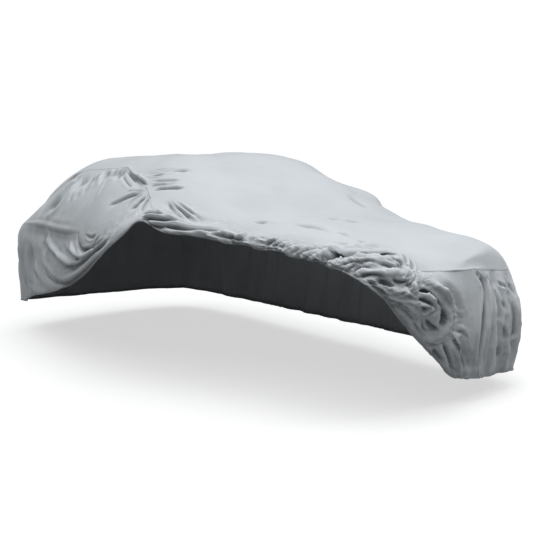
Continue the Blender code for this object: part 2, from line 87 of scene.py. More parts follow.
# The tail edge, and the rows from the end of the roof to the front edge, where the near side
# is pulled up and lies bunched. Each row names eleven points across the cover.
Girth = namedtuple("Girth", "near_hem near_side near_belt near_seam near_shoulder centre "
                            "far_shoulder far_seam far_belt far_side far_hem")
TAIL = Girth(
    (-0.885, 2.26, 0.262), (-0.872, 2.31, 0.500), (-0.755, 2.32, 0.885), (-0.660, 2.36, 1.030),
    (-0.40, 2.45, 1.070), (0.00, 2.48, 1.085), (0.40, 2.45, 1.070), (0.660, 2.36, 1.030),
    (0.80, 2.34, 0.880), (0.86, 2.33, 0.560), (0.80, 2.27, 0.180))
LIFTED = [
    Girth((-0.995, -0.28, 0.790), (-0.985, -0.25, 0.900), (-0.955, -0.22, 1.000),
          (-0.610, -0.20, 1.365), (-0.450, -0.27, 1.450), (0.00, -0.42, 1.485),
          (0.47, -0.32, 1.470), (0.600, -0.22, 1.432), (0.96, -0.20, 1.000),
          (1.00, -0.20, 0.580), (0.95, -0.20, 0.150)),
    Girth((-0.985, -0.56, 0.915), (-0.975, -0.53, 0.965), (-0.945, -0.50, 1.030),
          (-0.660, -0.49, 1.305), (-0.480, -0.56, 1.375), (0.00, -0.70, 1.410),
          (0.50, -0.60, 1.412), (0.645, -0.50, 1.382), (0.96, -0.50, 1.000),
          (1.00, -0.50, 0.580), (0.95, -0.50, 0.150)),
    Girth((-0.950, -0.765, 1.005), (-0.925, -0.75, 1.060), (-0.860, -0.73, 1.120),
          (-0.715, -0.69, 1.235), (-0.500, -0.80, 1.300), (0.00, -0.95, 1.310),
          (0.50, -0.85, 1.322), (0.735, -0.72, 1.243), (1.075, -0.74, 1.112),
          (1.00, -0.75, 0.580), (0.95, -0.75, 0.150)),
    Girth((-0.880, -0.874, 1.092), (-0.865, -0.87, 1.105), (-0.830, -0.87, 1.135),
          (-0.765, -0.85, 1.170), (-0.520, -1.00, 1.215), (0.00, -1.17, 1.210),
          (0.54, -1.08, 1.222), (0.760, -0.95, 1.160), (0.97, -0.96, 1.010),
          (1.00, -1.00, 0.570), (0.95, -1.00, 0.150)),
    Girth((-0.800, -1.020, 1.028), (-0.805, -1.01, 1.055), (-0.785, -1.00, 1.088),
          (-0.735, -1.00, 1.125), (-0.500, -1.20, 1.120), (0.00, -1.38, 1.090),
          (0.57, -1.28, 1.110), (0.820, -1.13, 1.075), (0.95, -1.18, 0.955),
          (0.99, -1.25, 0.560), (0.94, -1.25, 0.150)),
    Girth((-0.690, -1.262, 1.003), (-0.715, -1.260, 1.026), (-0.690, -1.245, 1.046),
          (-0.640, -1.23, 1.062), (-0.430, -1.39, 1.055), (0.05, -1.57, 1.045),
          (0.60, -1.50, 1.020), (0.900, -1.35, 0.950), (0.98, -1.40, 0.850),
          (1.00, -1.45, 0.540), (0.94, -1.45, 0.145)),
    Girth((-0.570, -1.583, 0.957), (-0.592, -1.585, 0.978), (-0.565, -1.58, 0.997),
          (-0.500, -1.58, 1.010), (-0.310, -1.70, 1.005), (0.12, -1.82, 0.990),
          (0.68, -1.73, 0.970), (0.950, -1.60, 0.890), (1.00, -1.65, 0.790),
          (1.00, -1.70, 0.500), (0.94, -1.70, 0.140)),
    Girth((-0.470, -1.981, 0.911), (-0.488, -1.975, 0.932), (-0.465, -1.95, 0.954),
          (-0.400, -1.93, 0.968), (-0.200, -2.02, 0.955), (0.20, -2.09, 0.935),
          (0.76, -1.96, 0.912), (0.970, -1.84, 0.800), (1.01, -1.88, 0.690),
          (1.02, -1.92, 0.450), (0.95, -1.90, 0.135)),
    Girth((-0.380, -2.311, 0.848), (-0.398, -2.303, 0.877), (-0.360, -2.27, 0.907),
          (-0.290, -2.24, 0.920), (-0.080, -2.27, 0.900), (0.25, -2.31, 0.870),
          (0.77, -2.17, 0.878), (0.960, -2.08, 0.765), (1.00, -2.10, 0.620),
          (1.02, -2.13, 0.390), (0.962, -2.12, 0.115)),
    Girth((-0.320, -2.500, 0.765), (-0.260, -2.52, 0.810), (-0.160, -2.49, 0.860),
          (-0.060, -2.40, 0.895), (0.060, -2.38, 0.870), (0.29, -2.41, 0.830),
          (0.80, -2.235, 0.836), (0.895, -2.25, 0.722), (0.930, -2.29, 0.580),
          (0.928, -2.31, 0.290), (0.892, -2.28, 0.108)),
    Girth((-0.220, -2.520, 0.680), (-0.130, -2.60, 0.720), (-0.050, -2.57, 0.780),
          (0.000, -2.500, 0.800), (0.13, -2.50, 0.792), (0.26, -2.49, 0.782),
          (0.38, -2.47, 0.773), (0.480, -2.45, 0.762), (0.485, -2.485, 0.611),
          (0.440, -2.51, 0.413), (0.465, -2.45, 0.144)),
]

# Columns that hang from the front seam and from the tail seam, between their corners.
Drop = namedtuple("Drop", "belt side hem")
FRONT_DROPS = [
    Drop((0.06, -2.60, 0.720), (0.00, -2.61, 0.620), (-0.09, -2.53, 0.510)),
    Drop((0.22, -2.55, 0.640), (0.17, -2.56, 0.470), (0.12, -2.50, 0.310)),
    Drop((0.38, -2.50, 0.610), (0.34, -2.51, 0.400), (0.31, -2.43, 0.165)),
]
REAR_DROPS = [
    Drop((-0.42, 2.52, 0.860), (-0.44, 2.54, 0.560), (-0.42, 2.45, 0.220)),
    Drop((0.00, 2.55, 0.860), (0.00, 2.57, 0.560), (0.00, 2.48, 0.200)),
    Drop((0.42, 2.52, 0.860), (0.44, 2.54, 0.560), (0.42, 2.45, 0.190)),
]

# ---- main folds
# A fold runs from its start towards its bend and on to its end, in the view that its group
# names: "yz" from the side, "xy" from above, "xz" from the front. The width is across one
# flank, and the height is negative for a trough.
Fold = namedtuple("Fold", "start bend end width height")
Group = namedtuple("Group", "panel view behind before folds")     # each fold a row of Fold

PUCKERS = Group("near", "yz", 3.0, -0.84, [     # gathered at the roof seam, over the side
    ((1.04, 1.400), (1.44, 1.340), (1.31, 1.110), 0.052, -0.026),
    ((0.90, 1.400), (0.97, 1.330), (1.02, 1.140), 0.048, -0.024),
    ((0.78, 1.370), (0.70, 1.290), (0.59, 1.240), 0.044, -0.020),
    ((0.66, 1.390), (0.56, 1.360), (0.50, 1.290), 0.040, -0.018),
    ((0.39, 1.420), (0.34, 1.400), (0.25, 1.370), 0.040, -0.012),
    ((0.14, 1.420), (0.06, 1.390), (-0.04, 1.360), 0.040, -0.014),
    ((-0.02, 1.410), (-0.21, 1.330), (-0.43, 1.310), 0.042, -0.020),
    ((-0.15, 1.370), (-0.31, 1.340), (-0.46, 1.310), 0.036, -0.016),
    ((-0.53, 1.270), (-0.38, 1.230), (-0.24, 1.180), 0.034, -0.018),
    ((-0.63, 1.240), (-0.67, 1.180), (-0.63, 1.160), 0.034, -0.020),
    ((-0.68, 1.230), (-0.73, 1.170), (-0.78, 1.140), 0.032, -0.018),
])
SWAGS = Group("near", "yz", 3.0, -0.84, [       # hanging from the shoulder to the caught-up hem
    ((0.11, 0.970), (-0.04, 0.770), (-0.35, 0.970), 0.048, -0.026),
    ((0.29, 0.930), (0.01, 0.690), (-0.39, 0.970), 0.050, 0.026),
    ((0.43, 0.870), (-0.01, 0.690), (-0.43, 0.980), 0.048, -0.028),
    ((0.88, 0.910), (0.20, 0.590), (-0.47, 0.960), 0.060, 0.032),
    ((0.90, 0.840), (0.16, 0.570), (-0.54, 0.970), 0.050, -0.030),
    ((1.00, 0.710), (0.23, 0.490), (-0.61, 0.960), 0.058, 0.030),
    ((1.12, 0.690), (0.25, 0.400), (-0.63, 0.960), 0.048, -0.024),
    ((1.35, 0.730), (1.05, 0.480), (0.68, 0.540), 0.060, 0.024),
    ((1.02, 0.900), (0.98, 0.850), (0.94, 0.800), 0.075, -0.022),
    ((1.38, 0.820), (1.60, 0.640), (1.32, 0.500), 0.090, -0.034),
    ((1.74, 0.880), (1.86, 0.640), (1.66, 0.380), 0.085, 0.024),
    ((2.02, 0.820), (2.10, 0.600), (1.98, 0.340), 0.075, -0.020),
])
BUNCH = Group("near", "xz", -2.12, -3.0, [      # pushed together at the front
    ((-0.44, 0.880), (-0.24, 0.945), (-0.07, 0.892), 0.034, -0.024),
    ((-0.38, 0.862), (-0.20, 0.915), (-0.05, 0.862), 0.030, 0.016),
    ((-0.36, 0.842), (-0.20, 0.868), (-0.03, 0.836), 0.030, -0.020),
    ((-0.34, 0.822), (-0.19, 0.820), (-0.03, 0.802), 0.030, 0.018),
    ((-0.32, 0.802), (-0.19, 0.745), (-0.05, 0.765), 0.030, -0.022),
    ((-0.31, 0.778), (-0.20, 0.740), (-0.12, 0.700), 0.026, 0.014),
])
BAND = Group("near", "xy", -0.84, -2.12, [      # lying along the raised hem
    ((-0.60, -1.46), (-0.58, -1.52), (-0.50, -1.62), 0.045, 0.020),
    ((-0.61, -1.58), (-0.55, -1.66), (-0.46, -1.74), 0.042, -0.020),
    ((-0.56, -1.72), (-0.50, -1.82), (-0.42, -1.88), 0.042, 0.024),
    ((-0.53, -1.86), (-0.47, -1.96), (-0.40, -2.02), 0.042, -0.026),
    ((-0.49, -2.00), (-0.43, -2.10), (-0.34, -2.14), 0.042, 0.022),
])
CREASES = Group("top", "xy", 3.0, -3.0, [       # drawn from the lifted side over the top
    ((-0.57, -0.27), (-0.50, -0.44), (-0.39, -0.65), 0.040, -0.016),
    ((-0.63, -0.55), (-0.60, -0.62), (-0.55, -0.72), 0.036, -0.012),
    ((-0.66, -0.64), (-0.61, -0.72), (-0.54, -0.83), 0.036, -0.014),
    ((-0.69, -0.88), (-0.67, -1.02), (-0.61, -1.21), 0.045, -0.018),
    ((-0.34, -1.38), (-0.30, -1.46), (-0.23, -1.53), 0.040, -0.012),
    ((-0.20, -1.48), (-0.10, -1.72), (0.00, -1.92), 0.045, -0.014),
    ((0.78, -0.84), (0.70, -0.98), (0.62, -1.12), 0.060, -0.016),
])
POUCH = Group("front", "xz", 3.0, -3.0, [       # where the pushed cloth hangs down at the front
    ((-0.02, 0.770), (0.30, 0.560), (0.04, 0.420), 0.060, 0.040),
    ((0.06, 0.770), (0.46, 0.560), (0.12, 0.360), 0.055, -0.030),
    ((-0.04, 0.730), (0.08, 0.690), (0.11, 0.600), 0.036, -0.034),
    ((-0.10, 0.600), (0.00, 0.560), (0.06, 0.480), 0.036, -0.026),
    ((0.21, 0.460), (0.27, 0.380), (0.31, 0.270), 0.034, 0.022),
    ((0.27, 0.440), (0.34, 0.330), (0.42, 0.200), 0.034, -0.020),
])
GATHERS = Group("far", "xz", -2.12, -3.0, [     # from the front seam down round the far corner
    ((0.59, 0.710), (0.54, 0.450), (0.56, 0.130), 0.042, 0.026),
    ((0.64, 0.700), (0.60, 0.450), (0.66, 0.150), 0.042, -0.026),
    ((0.71, 0.690), (0.68, 0.450), (0.73, 0.130), 0.046, 0.026),
    ((0.79, 0.680), (0.75, 0.450), (0.80, 0.150), 0.046, -0.026),
    ((0.86, 0.670), (0.84, 0.450), (0.87, 0.130), 0.046, 0.014),
])
SHOULDERS = Group("far", "yz", 3.0, -2.06, [    # slack between the shoulder and the hem
    ((1.90, 0.880), (1.84, 0.560), (1.90, 0.180), 0.110, -0.024),
    ((1.30, 0.900), (1.22, 0.560), (1.28, 0.170), 0.120, 0.022),
    ((0.62, 0.900), (0.56, 0.560), (0.60, 0.170), 0.130, -0.024),
    ((-0.10, 0.900), (-0.14, 0.560), (-0.10, 0.170), 0.120, 0.020),
    ((-0.72, 1.060), (-0.60, 0.640), (-0.68, 0.180), 0.100, -0.024),
    ((-1.20, 0.860), (-1.26, 0.560), (-1.20, 0.170), 0.120, 0.022),
    ((-1.76, 0.760), (-1.72, 0.480), (-1.78, 0.160), 0.100, -0.024),
])
REAR_FOLDS = Group("rear", "xz", 3.0, -3.0, [
    ((-0.52, 0.960), (-0.58, 0.600), (-0.54, 0.250), 0.090, -0.024),
    ((-0.16, 0.980), (-0.20, 0.600), (-0.18, 0.230), 0.100, 0.020),
    ((0.30, 0.980), (0.26, 0.600), (0.30, 0.220), 0.100, -0.022),
    ((0.62, 0.940), (0.64, 0.600), (0.62, 0.230), 0.080, 0.018),
])
FOLD_GROUPS = [PUCKERS, SWAGS, BUNCH, BAND, CREASES, POUCH, GATHERS, SHOULDERS, REAR_FOLDS]
FOLD_CHORDS = 20        # straight pieces that a fold's line is measured along
FOLD_FADE = 0.18        # share of its length over which a fold starts and ends
FOLD_END_HEIGHT = 0.25  # share of its height at its ends
GROUP_FADE = 0.05       # length over which a group of folds starts and ends
NEAR_HEM_SHARE = 0.25   # share of the folds left at the near side's hem, which lies stretched
NEAR_HEM_BAND = 0.022   # length of cloth over which the finer folds end at that hem
NEAR_HEM_LEAST = 0.15   # share of them left there

# ---- fine creases
# A crease runs through pixels of the photograph, counted right and down from its top left
# corner. The width is across one flank, and the height is negative for a trough.
Crease = namedtuple("Crease", "width height pixels")
CREASES_SEEN = [     # each a row of Crease
    # gathered at the roof seam, over the tail end of the side
    (0.075, -0.042, [(80, 177), (71, 182.5), (63.5, 191), (55.5, 201), (47, 210)]),
    (0.052, -0.026, [(77, 181), (68.5, 191), (60, 202), (52.5, 211)]),
    (0.045, -0.026, [(82, 177.5), (77.5, 185), (73, 193), (69.5, 200)]),
    (0.045, -0.027, [(87, 176), (83.5, 184), (79.5, 191), (76.5, 198)]),
    (0.020, 0.004, [(84.5, 177), (80, 187), (74.5, 198)]),
    (0.040, -0.025, [(92, 175), (89.5, 182), (86.5, 188), (84, 193)]),
    (0.036, -0.022, [(97, 173), (95, 179), (92.5, 184)]),
    (0.036, -0.024, [(105.5, 170.5), (103.5, 177), (101, 183)]),
    (0.030, -0.018, [(109.5, 170.5), (108.5, 176), (106.5, 181)]),
    (0.032, -0.022, [(114, 170), (113.5, 178)]),
    (0.030, -0.022, [(119, 170), (119.7, 180)]),
    (0.030, -0.020, [(124, 170), (124.3, 176)]),
    (0.020, -0.022, [(127.7, 170.5), (131.7, 177), (137.6, 182), (142.5, 185)]),
    (0.018, -0.022, [(133.6, 175), (139.6, 180), (146.5, 185)]),
    (0.018, -0.022, [(123.7, 175.5), (126.7, 181.5), (131.7, 187.5)]),
    (0.030, 0.006, [(104, 182), (100, 192), (95, 201)]),
    (0.030, 0.005, [(79, 187), (71, 200)]),
    # drawn together at one point below the roof seam
    (0.014, -0.017, [(141.5, 192.5), (126.7, 197.5), (113.9, 203.4), (108, 206)]),
    (0.012, 0.009, [(139, 195), (127, 200), (115, 205.5)]),
    (0.014, -0.018, [(142, 194.5), (133, 199.5), (127, 206)]),
    (0.016, -0.022, [(145, 196.5), (138.6, 204), (131, 210)]),
    (0.011, 0.009, [(144, 199), (138.5, 206), (134, 210)]),
    (0.014, -0.018, [(149, 197.5), (144.5, 205.4), (140.6, 213.3)]),
    (0.013, -0.014, [(141, 191), (133, 190), (126, 192)]),
    # along the shoulder
    (0.024, 0.013, [(22.9, 222.3), (42.6, 223.8), (49.6, 226), (65.4, 229), (78.3, 230.7)]),
    (0.075, -0.013, [(24, 231), (42.6, 233), (60, 237), (76, 240)]),
    # swags below the shoulder
    (0.020, -0.022, [(78.3, 234), (78.3, 242), (81.2, 249), (87.2, 250), (94, 245), (99, 238)]),
    (0.016, -0.012, [(85, 235), (91, 238), (96, 235)]),
    (0.024, 0.012, [(69.4, 242), (71.3, 250), (77.3, 257), (84, 256.5), (92, 250), (101, 239)]),
    (0.018, -0.022, [(63, 247), (72, 258), (79, 260), (89, 254), (97, 245), (103, 238)]),
    (0.026, 0.012, [(47.6, 239), (52.5, 249), (60.5, 258), (68.4, 264), (78, 262), (92, 252)]),
    (0.018, -0.022, [(46.6, 245), (54.5, 258), (63.4, 266.7), (73.3, 266.7), (85.2, 261.8), (99, 248),
        (108, 239.5)]),
    (0.024, 0.011, [(44, 262), (49.6, 271), (55.5, 278.6), (64.4, 279.6), (74.3, 273.6), (85.2, 265.7),
        (100, 252), (112, 241)]),
    (0.017, -0.018, [(40, 264), (45, 274), (53.5, 281.6), (62.4, 284.5), (73.3, 281), (89, 267.7),
        (104, 252.9)]),
    (0.070, -0.034, [(31, 246), (30, 262), (33, 275), (37, 284)]),
    (0.060, -0.016, [(42, 238), (43, 244), (45, 251)]),
    (0.030, 0.012, [(24.5, 240), (24, 262), (25.5, 288)]),
    (0.030, 0.008, [(28, 285), (36, 291.5), (48, 291)]),
    # over the slope in front of the roof
    (0.020, -0.020, [(149, 175), (158.6, 175.6), (170.4, 173.4), (180, 172), (189, 171.2)]),
    (0.020, 0.006, [(151, 172.5), (160, 172.8), (170, 170.6)]),
    (0.018, -0.010, [(152, 180.9), (166, 181.4), (180, 181.2)]),
    (0.018, -0.009, [(150, 185.4), (159, 185.8), (168, 185.4)]),
    (0.018, -0.013, [(154, 190.9), (166.9, 189.9), (184, 188.7)]),
    (0.014, 0.009, [(172.8, 200.7), (182.2, 208.5), (191.6, 216), (198.7, 221)]),
    (0.012, -0.013, [(175.1, 205.5), (184.6, 213.7), (190.5, 218.4)]),
    (0.012, -0.014, [(168, 202.5), (173, 210.5), (183.6, 218.6)]),
    (0.011, 0.007, [(171, 204), (178, 212), (187, 219)]),
    (0.013, -0.012, [(176, 202), (186, 209), (194, 215)]),
    (0.020, -0.026, [(143.3, 213.9), (152.7, 213.1), (162.1, 214.3)]),
    (0.012, 0.009, [(146, 216.2), (155, 216), (166, 217.2)]),
    (0.022, -0.034, [(142.1, 219.8), (152.7, 218.4), (164.5, 219.4), (176, 220.2)]),
    (0.018, -0.020, [(139.7, 222), (152.7, 226), (165.7, 229.5)]),
    (0.013, 0.009, [(146, 222.5), (160, 224.5), (176, 225)]),
    (0.024, -0.040, [(160, 225.5), (174, 227), (188.1, 229), (205.8, 230), (224.7, 231.6)]),
    (0.012, 0.010, [(176, 231), (192, 232.5), (208, 233.5), (220, 235.5)]),
    (0.022, -0.020, [(204, 233), (216, 234.5), (229.4, 239), (236.5, 241.5)]),
    # crumpled along the raised hem
    (0.018, 0.014, [(228, 241), (236, 238), (241, 235), (247, 232)]),
    (0.022, -0.020, [(229, 236), (236, 240), (243, 241)]),
    (0.022, -0.020, [(246, 243.5), (253, 239), (262, 237), (267, 240)]),
    (0.013, 0.009, [(252, 244), (260, 241), (266, 242)]),
    (0.015, -0.018, [(264, 247), (270, 242.5), (277, 240)]),
    (0.013, -0.016, [(271, 248.5), (277, 244), (285, 241.5)]),
    (0.013, -0.016, [(277, 250.5), (284, 245), (291.5, 242)]),
    (0.011, 0.008, [(281, 250), (288, 246), (295, 243.5)]),
    (0.013, -0.018, [(284, 253), (291, 249), (300, 246.5)]),
    (0.012, -0.015, [(291, 254), (299, 250), (307, 247.5)]),
    (0.013, -0.017, [(297, 256), (305, 251.5), (313, 250)]),
    (0.011, 0.008, [(301, 257), (309, 253.5), (318, 251.5)]),
    (0.013, -0.017, [(306, 258), (314, 254), (322, 251)]),
    (0.013, -0.015, [(313, 260), (320, 256.5), (327, 254.5)]),
    # shallow, over the lid in front
    (0.018, -0.012, [(257.7, 221.4), (266, 223.1)]),
    (0.022, -0.015, [(297.8, 224.3), (309.6, 226.7), (328.7, 232.2), (343.1, 234.1), (349.8, 237)]),
    (0.020, -0.012, [(328.7, 217.4), (341.1, 219.8), (357.4, 223.6)]),
    (0.020, -0.012, [(357.4, 238.9), (372.7, 244.6)]),
    (0.020, -0.016, [(308.6, 244.6), (323.9, 246.6), (330.6, 246.6)]),
    (0.020, -0.016, [(332.5, 241.8), (345.9, 243.7), (365.1, 246.1)]),
    (0.045, -0.012, [(347.8, 193.9), (357.4, 201.6), (367, 207.3)]),
    # bunched at the front
    (0.034, 0.018, [(318, 255), (331, 250), (345, 247.5), (360, 245.5), (376, 244.5), (390, 247.5)]),
    (0.040, -0.052, [(318, 262), (324, 259.5), (333, 257), (345, 255), (358, 253.5), (371.8, 252.8),
        (383.3, 253.8), (394, 258)]),
    (0.014, 0.006, [(330, 265), (342, 262), (358, 260), (381.3, 260)]),
    (0.020, -0.020, [(303.8, 252), (313, 249), (326.8, 248)]),
    (0.016, -0.022, [(334, 263), (344, 260), (356, 257.5), (368, 257)]),
    (0.015, -0.020, [(340, 266), (350, 262.5), (362, 260.5), (374, 261)]),
    (0.017, -0.026, [(349, 268.5), (357, 265), (368, 263.5)]),
    (0.016, -0.022, [(352, 272.5), (359, 269.5), (370, 268)]),
    (0.012, 0.010, [(356, 273), (366, 271.5), (380, 270)]),
    (0.018, -0.030, [(359, 277.5), (367, 275.5), (377, 275.8), (386, 279)]),
    (0.016, -0.024, [(366, 281), (376, 285), (391.5, 292.5)]),
    (0.015, -0.022, [(369, 285.5), (378, 290), (389, 297)]),
    (0.011, 0.010, [(368, 283), (380, 288), (394, 294.5)]),
    (0.018, -0.024, [(374, 279), (384, 283.5), (394, 287)]),
    (0.014, -0.020, [(392, 280), (398, 282.5), (406, 281.5)]),
    (0.030, 0.014, [(378, 271), (392, 271.5), (404, 274)]),
    (0.020, -0.014, [(404, 283), (410, 288), (413, 296)]),
    (0.013, -0.014, [(388, 258), (398, 262), (403, 270)]),
    (0.011, 0.009, [(384, 262), (394, 266), (400, 272)]),
    (0.012, -0.012, [(378, 264), (388, 266), (396, 271)]),
    (0.014, -0.018, [(399, 254), (404, 258), (406, 264)]),
    (0.014, -0.013, [(408, 259), (412, 266), (412, 275)]),
    (0.013, 0.010, [(411, 274), (415, 284), (416, 294)]),
    (0.012, 0.011, [(384, 294.4), (396, 299), (406, 302), (418, 304)]),
    (0.013, -0.016, [(380, 296.5), (393, 301.5), (404, 307), (411, 314)]),
    (0.012, -0.013, [(388, 304), (397, 308), (406, 316)]),
    (0.012, -0.013, [(398, 293), (407, 296), (414, 300)]),
    # the pouch that hangs below the bunch
    (0.016, 0.016, [(417.9, 285), (429, 289.4), (437, 296), (443, 304), (448.5, 313.7), (449.5, 325),
        (445.5, 334), (436, 339.5), (423, 339.8)]),
    (0.018, -0.034, [(419, 290), (428, 293.5), (436, 300.5), (440, 307)]),
    (0.010, 0.010, [(421, 293.5), (429, 297), (435, 302.5)]),
    (0.014, -0.028, [(418.5, 299), (426, 301), (434, 306)]),
    (0.026, -0.022, [(442, 309), (444.5, 318), (442, 329)]),
    (0.012, -0.014, [(390, 301), (402, 309), (411, 318), (417, 324)]),
    (0.012, 0.012, [(400, 303), (410, 308), (417, 314), (421, 322)]),
    (0.013, 0.014, [(419, 304), (426, 306.5), (432, 310), (424, 314)]),
    (0.013, -0.024, [(421, 307.5), (427, 309.5), (422, 312)]),
    (0.013, -0.025, [(420, 316), (428, 314.5), (435, 311)]),
    (0.014, -0.024, [(425, 320), (431, 326.5), (438, 331)]),
    (0.012, 0.012, [(428, 318), (434, 324), (441, 327.5)]),
    (0.011, 0.014, [(419, 317), (418.5, 326), (423.4, 335)]),
    (0.012, -0.022, [(422.5, 322), (424, 329), (428, 334)]),
    (0.011, -0.012, [(411, 321), (417, 329), (424, 337)]),
    (0.018, -0.032, [(424, 344), (436, 346), (446, 341), (452, 331), (453, 320)]),
    # between the pouch and the hem
    (0.012, 0.014, [(449, 332), (452.5, 345), (458.5, 357), (461, 375)]),
    (0.012, 0.014, [(454, 328), (461, 338), (466, 350), (472.5, 368)]),
    (0.016, -0.028, [(451.5, 336), (457, 348), (463, 357), (465.5, 370)]),
    (0.015, -0.026, [(443.5, 343), (445.7, 350), (449.5, 359), (453.5, 370)]),
    (0.011, 0.010, [(439, 344), (441, 351), (446, 359)]),
    (0.013, -0.022, [(432, 349), (437, 355), (443, 362)]),
    (0.011, -0.013, [(447, 362), (451, 368), (457, 374)]),
    (0.013, 0.012, [(449.1, 307), (457, 308), (463, 314), (466, 322)]),
    (0.012, -0.013, [(452, 312), (458, 315), (461, 322)]),
    (0.011, 0.009, [(455, 320), (460, 326), (468, 330)]),
    (0.012, -0.010, [(456, 333), (464, 334), (470, 341)]),
    (0.014, 0.010, [(439, 289.5), (446, 290), (450, 296), (452.5, 304)]),
    # gathered round the far front corner
    (0.024, -0.036, [(476, 273), (481.5, 281), (484, 290), (484, 310.3), (482.5, 332.6), (478, 367)]),
    (0.018, 0.018, [(480, 273), (487, 281.3), (489.5, 290.3), (489.5, 310.3), (488, 332.6), (484, 366)]),
    (0.020, -0.030, [(488.5, 277), (492, 288), (494.7, 306), (497, 325), (496, 342), (492, 367)]),
    (0.016, 0.016, [(495, 284), (499.5, 300), (502, 316), (501, 334)]),
    (0.014, -0.016, [(499, 281), (503, 285.5), (507, 288.5)]),
    (0.014, -0.016, [(507, 282.5), (511, 289), (514.5, 297)]),
    (0.012, 0.010, [(505, 287), (509, 296), (511.5, 305)]),
    (0.014, -0.016, [(501, 300), (505, 308), (508, 318)]),
    (0.060, 0.014, [(511, 286), (515.5, 300), (516.5, 320), (515.5, 340), (511, 356)]),
    (0.018, -0.020, [(511, 298), (513, 312), (513, 330), (509.5, 346), (503, 358)]),
    (0.013, 0.010, [(507, 300), (509, 316), (508, 332), (504, 346)]),
    (0.014, -0.016, [(503, 326), (505, 338), (501, 350)]),
    (0.014, 0.012, [(495, 358), (501, 348), (506, 336)]),
    (0.014, -0.016, [(499, 346), (497, 356), (493, 367)]),
]
CREASE_CHORDS = 4       # straight pieces between two pixels of a crease
CREASE_FADE = 0.22      # share of its length over which a crease starts and ends
CREASE_END_WIDTH = 0.6      # share of its width at its ends
CREASE_END_HEIGHT = 0.15    # share of its height at its ends
LIP_PLACE = 1.5         # widths from a crease's middle to the raised lip beside it
LIP_REACH = 2.3         # widths to where the lip ends
LIP_SHARE = 0.35        # of the crease's height that the lip is high
SEEN_RADIUS = 4.0       # pixels within which the form is looked for
SEEN_DEPTH = 0.12       # how much further away than the nearest point it may be
SEEN_BLEND = 0.1        # square pixels that keep one point from outweighing its neighbours

# ---- panels
# flat is the width and length of the cloth that the panel is cut from, and area what is left of
# it. Both are guesses, and the near, far and front areas are set to what their folds here hold.
Panel = namedtuple("Panel", "node flipped hemmed flat area")
PANELS = {
    "top": Panel("top_panel", False, False, (1.95, 5.35), 7.1),
    "near": Panel("near_side_panel", True, True, (1.30, 5.50), 3.6),
    "far": Panel("far_side_panel", False, True, (1.40, 5.60), 5.9),
    "front": Panel("front_panel", True, True, (0.75, 0.90), 0.46),
    "rear": Panel("rear_panel", False, True, (0.95, 1.90), 1.6),
}

# ---- stitches
STITCH_PITCH = 0.0070   # from stitch to stitch
STITCH_SIZE = (0.0045, 0.0010, 0.0005)      # length, width and height
STITCH_INSET = 0.0022   # from the edge of a felled seam
HEM_STITCH = 0.018      # length of cloth from the hem up to its stitching
# A stitch is a bar: how far along, across and up each of its points lies, in halves of its length
# and width and in shares of its height.
STITCH_BAR = [(-1.0, -0.5, -0.6), (-1.0, 0.5, -0.6), (-0.6, -1.0, 0.8), (-0.6, 1.0, 0.8),
              (0.6, -1.0, 0.8), (0.6, 1.0, 0.8), (1.0, -0.5, -0.6), (1.0, 0.5, -0.6)]
STITCH_FACES = [(0, 1, 3, 2), (2, 3, 5, 4), (4, 5, 7, 6), (0, 2, 4, 6), (1, 7, 5, 3), (0, 6, 7, 1)]

# ---- looks of the cloth and the thread
CLOTH_LIGHT = (0.455, 0.480, 0.500)
CLOTH_DARK = (0.415, 0.440, 0.458)
THREAD_LIGHT = (0.40, 0.42, 0.43)
THREAD_DARK = (0.34, 0.36, 0.37)
SPECULAR = 0.30
SHEEN = 0.12
SHEEN_ROUGHNESS = 0.45
ROUGHNESS = (0.56, 0.70)        # where the coating is smoothest and roughest
RIB_SCALE = 35.0        # of the wave texture, which gives a rib about every 9 mm
RIB_WANDER = 0.6        # how unevenly the ribs run
WEAVE_STRENGTH = 0.25
CLOTH_WEAVE = 0.0004    # depth of the cloth's ribs, which are far coarser than its real weave
THREAD_WEAVE = 0.0002   # and of the thread's
DENTS_STRENGTH = 0.35
DENTS_DEPTH = 0.0030
# How fine each kind of unevenness is, to the metre, and how much detail it has.
Grain = namedtuple("Grain", "scale detail")
TONE_GRAIN = Grain(3.0, 5.0)
TONE_ENDS = (0.30, 0.70)        # of the noise, where the cloth is darkest and lightest
ROUGH_GRAIN = Grain(22.0, 3.0)
DENTS_GRAIN = Grain(26.0, 4.0)

# Shade is painted into the creases by their depth, and highlights onto their ridges: the light alone
# leaves them paler than they are in the photograph. Both stay in any light, and with both shares at
# nothing there is none.
SHADE_COLOUR = (0.115, 0.122, 0.128)    # painted shade in the troughs
HIGHLIGHT_COLOUR = (0.640, 0.665, 0.680)     # painted highlight along the ridges
SHADE_SHARE = 0.85      # of the shade's colour in the deepest troughs
HIGHLIGHT_SHARE = 0.20       # of the painted highlight's colour on the highest ridges
SHADE_DEPTH = 0.020     # how deep or high a crease is where it takes the full share
SHADE_WIDTH = 0.030     # a crease wider than this takes less
BUNCH_SHADE = 0.006     # depth that is added for painted shade where the cloth is bunched
HEM_SHADE = 0.014       # and for painted shade along the hem
HEM_SHADE_FADE = 0.015  # length of cloth over which the hem's painted shade fades
CREASED = "creased"     # attribute of the cloth with the depth that sets its painted shade and highlight, -1 in the troughs to 1 on ridges
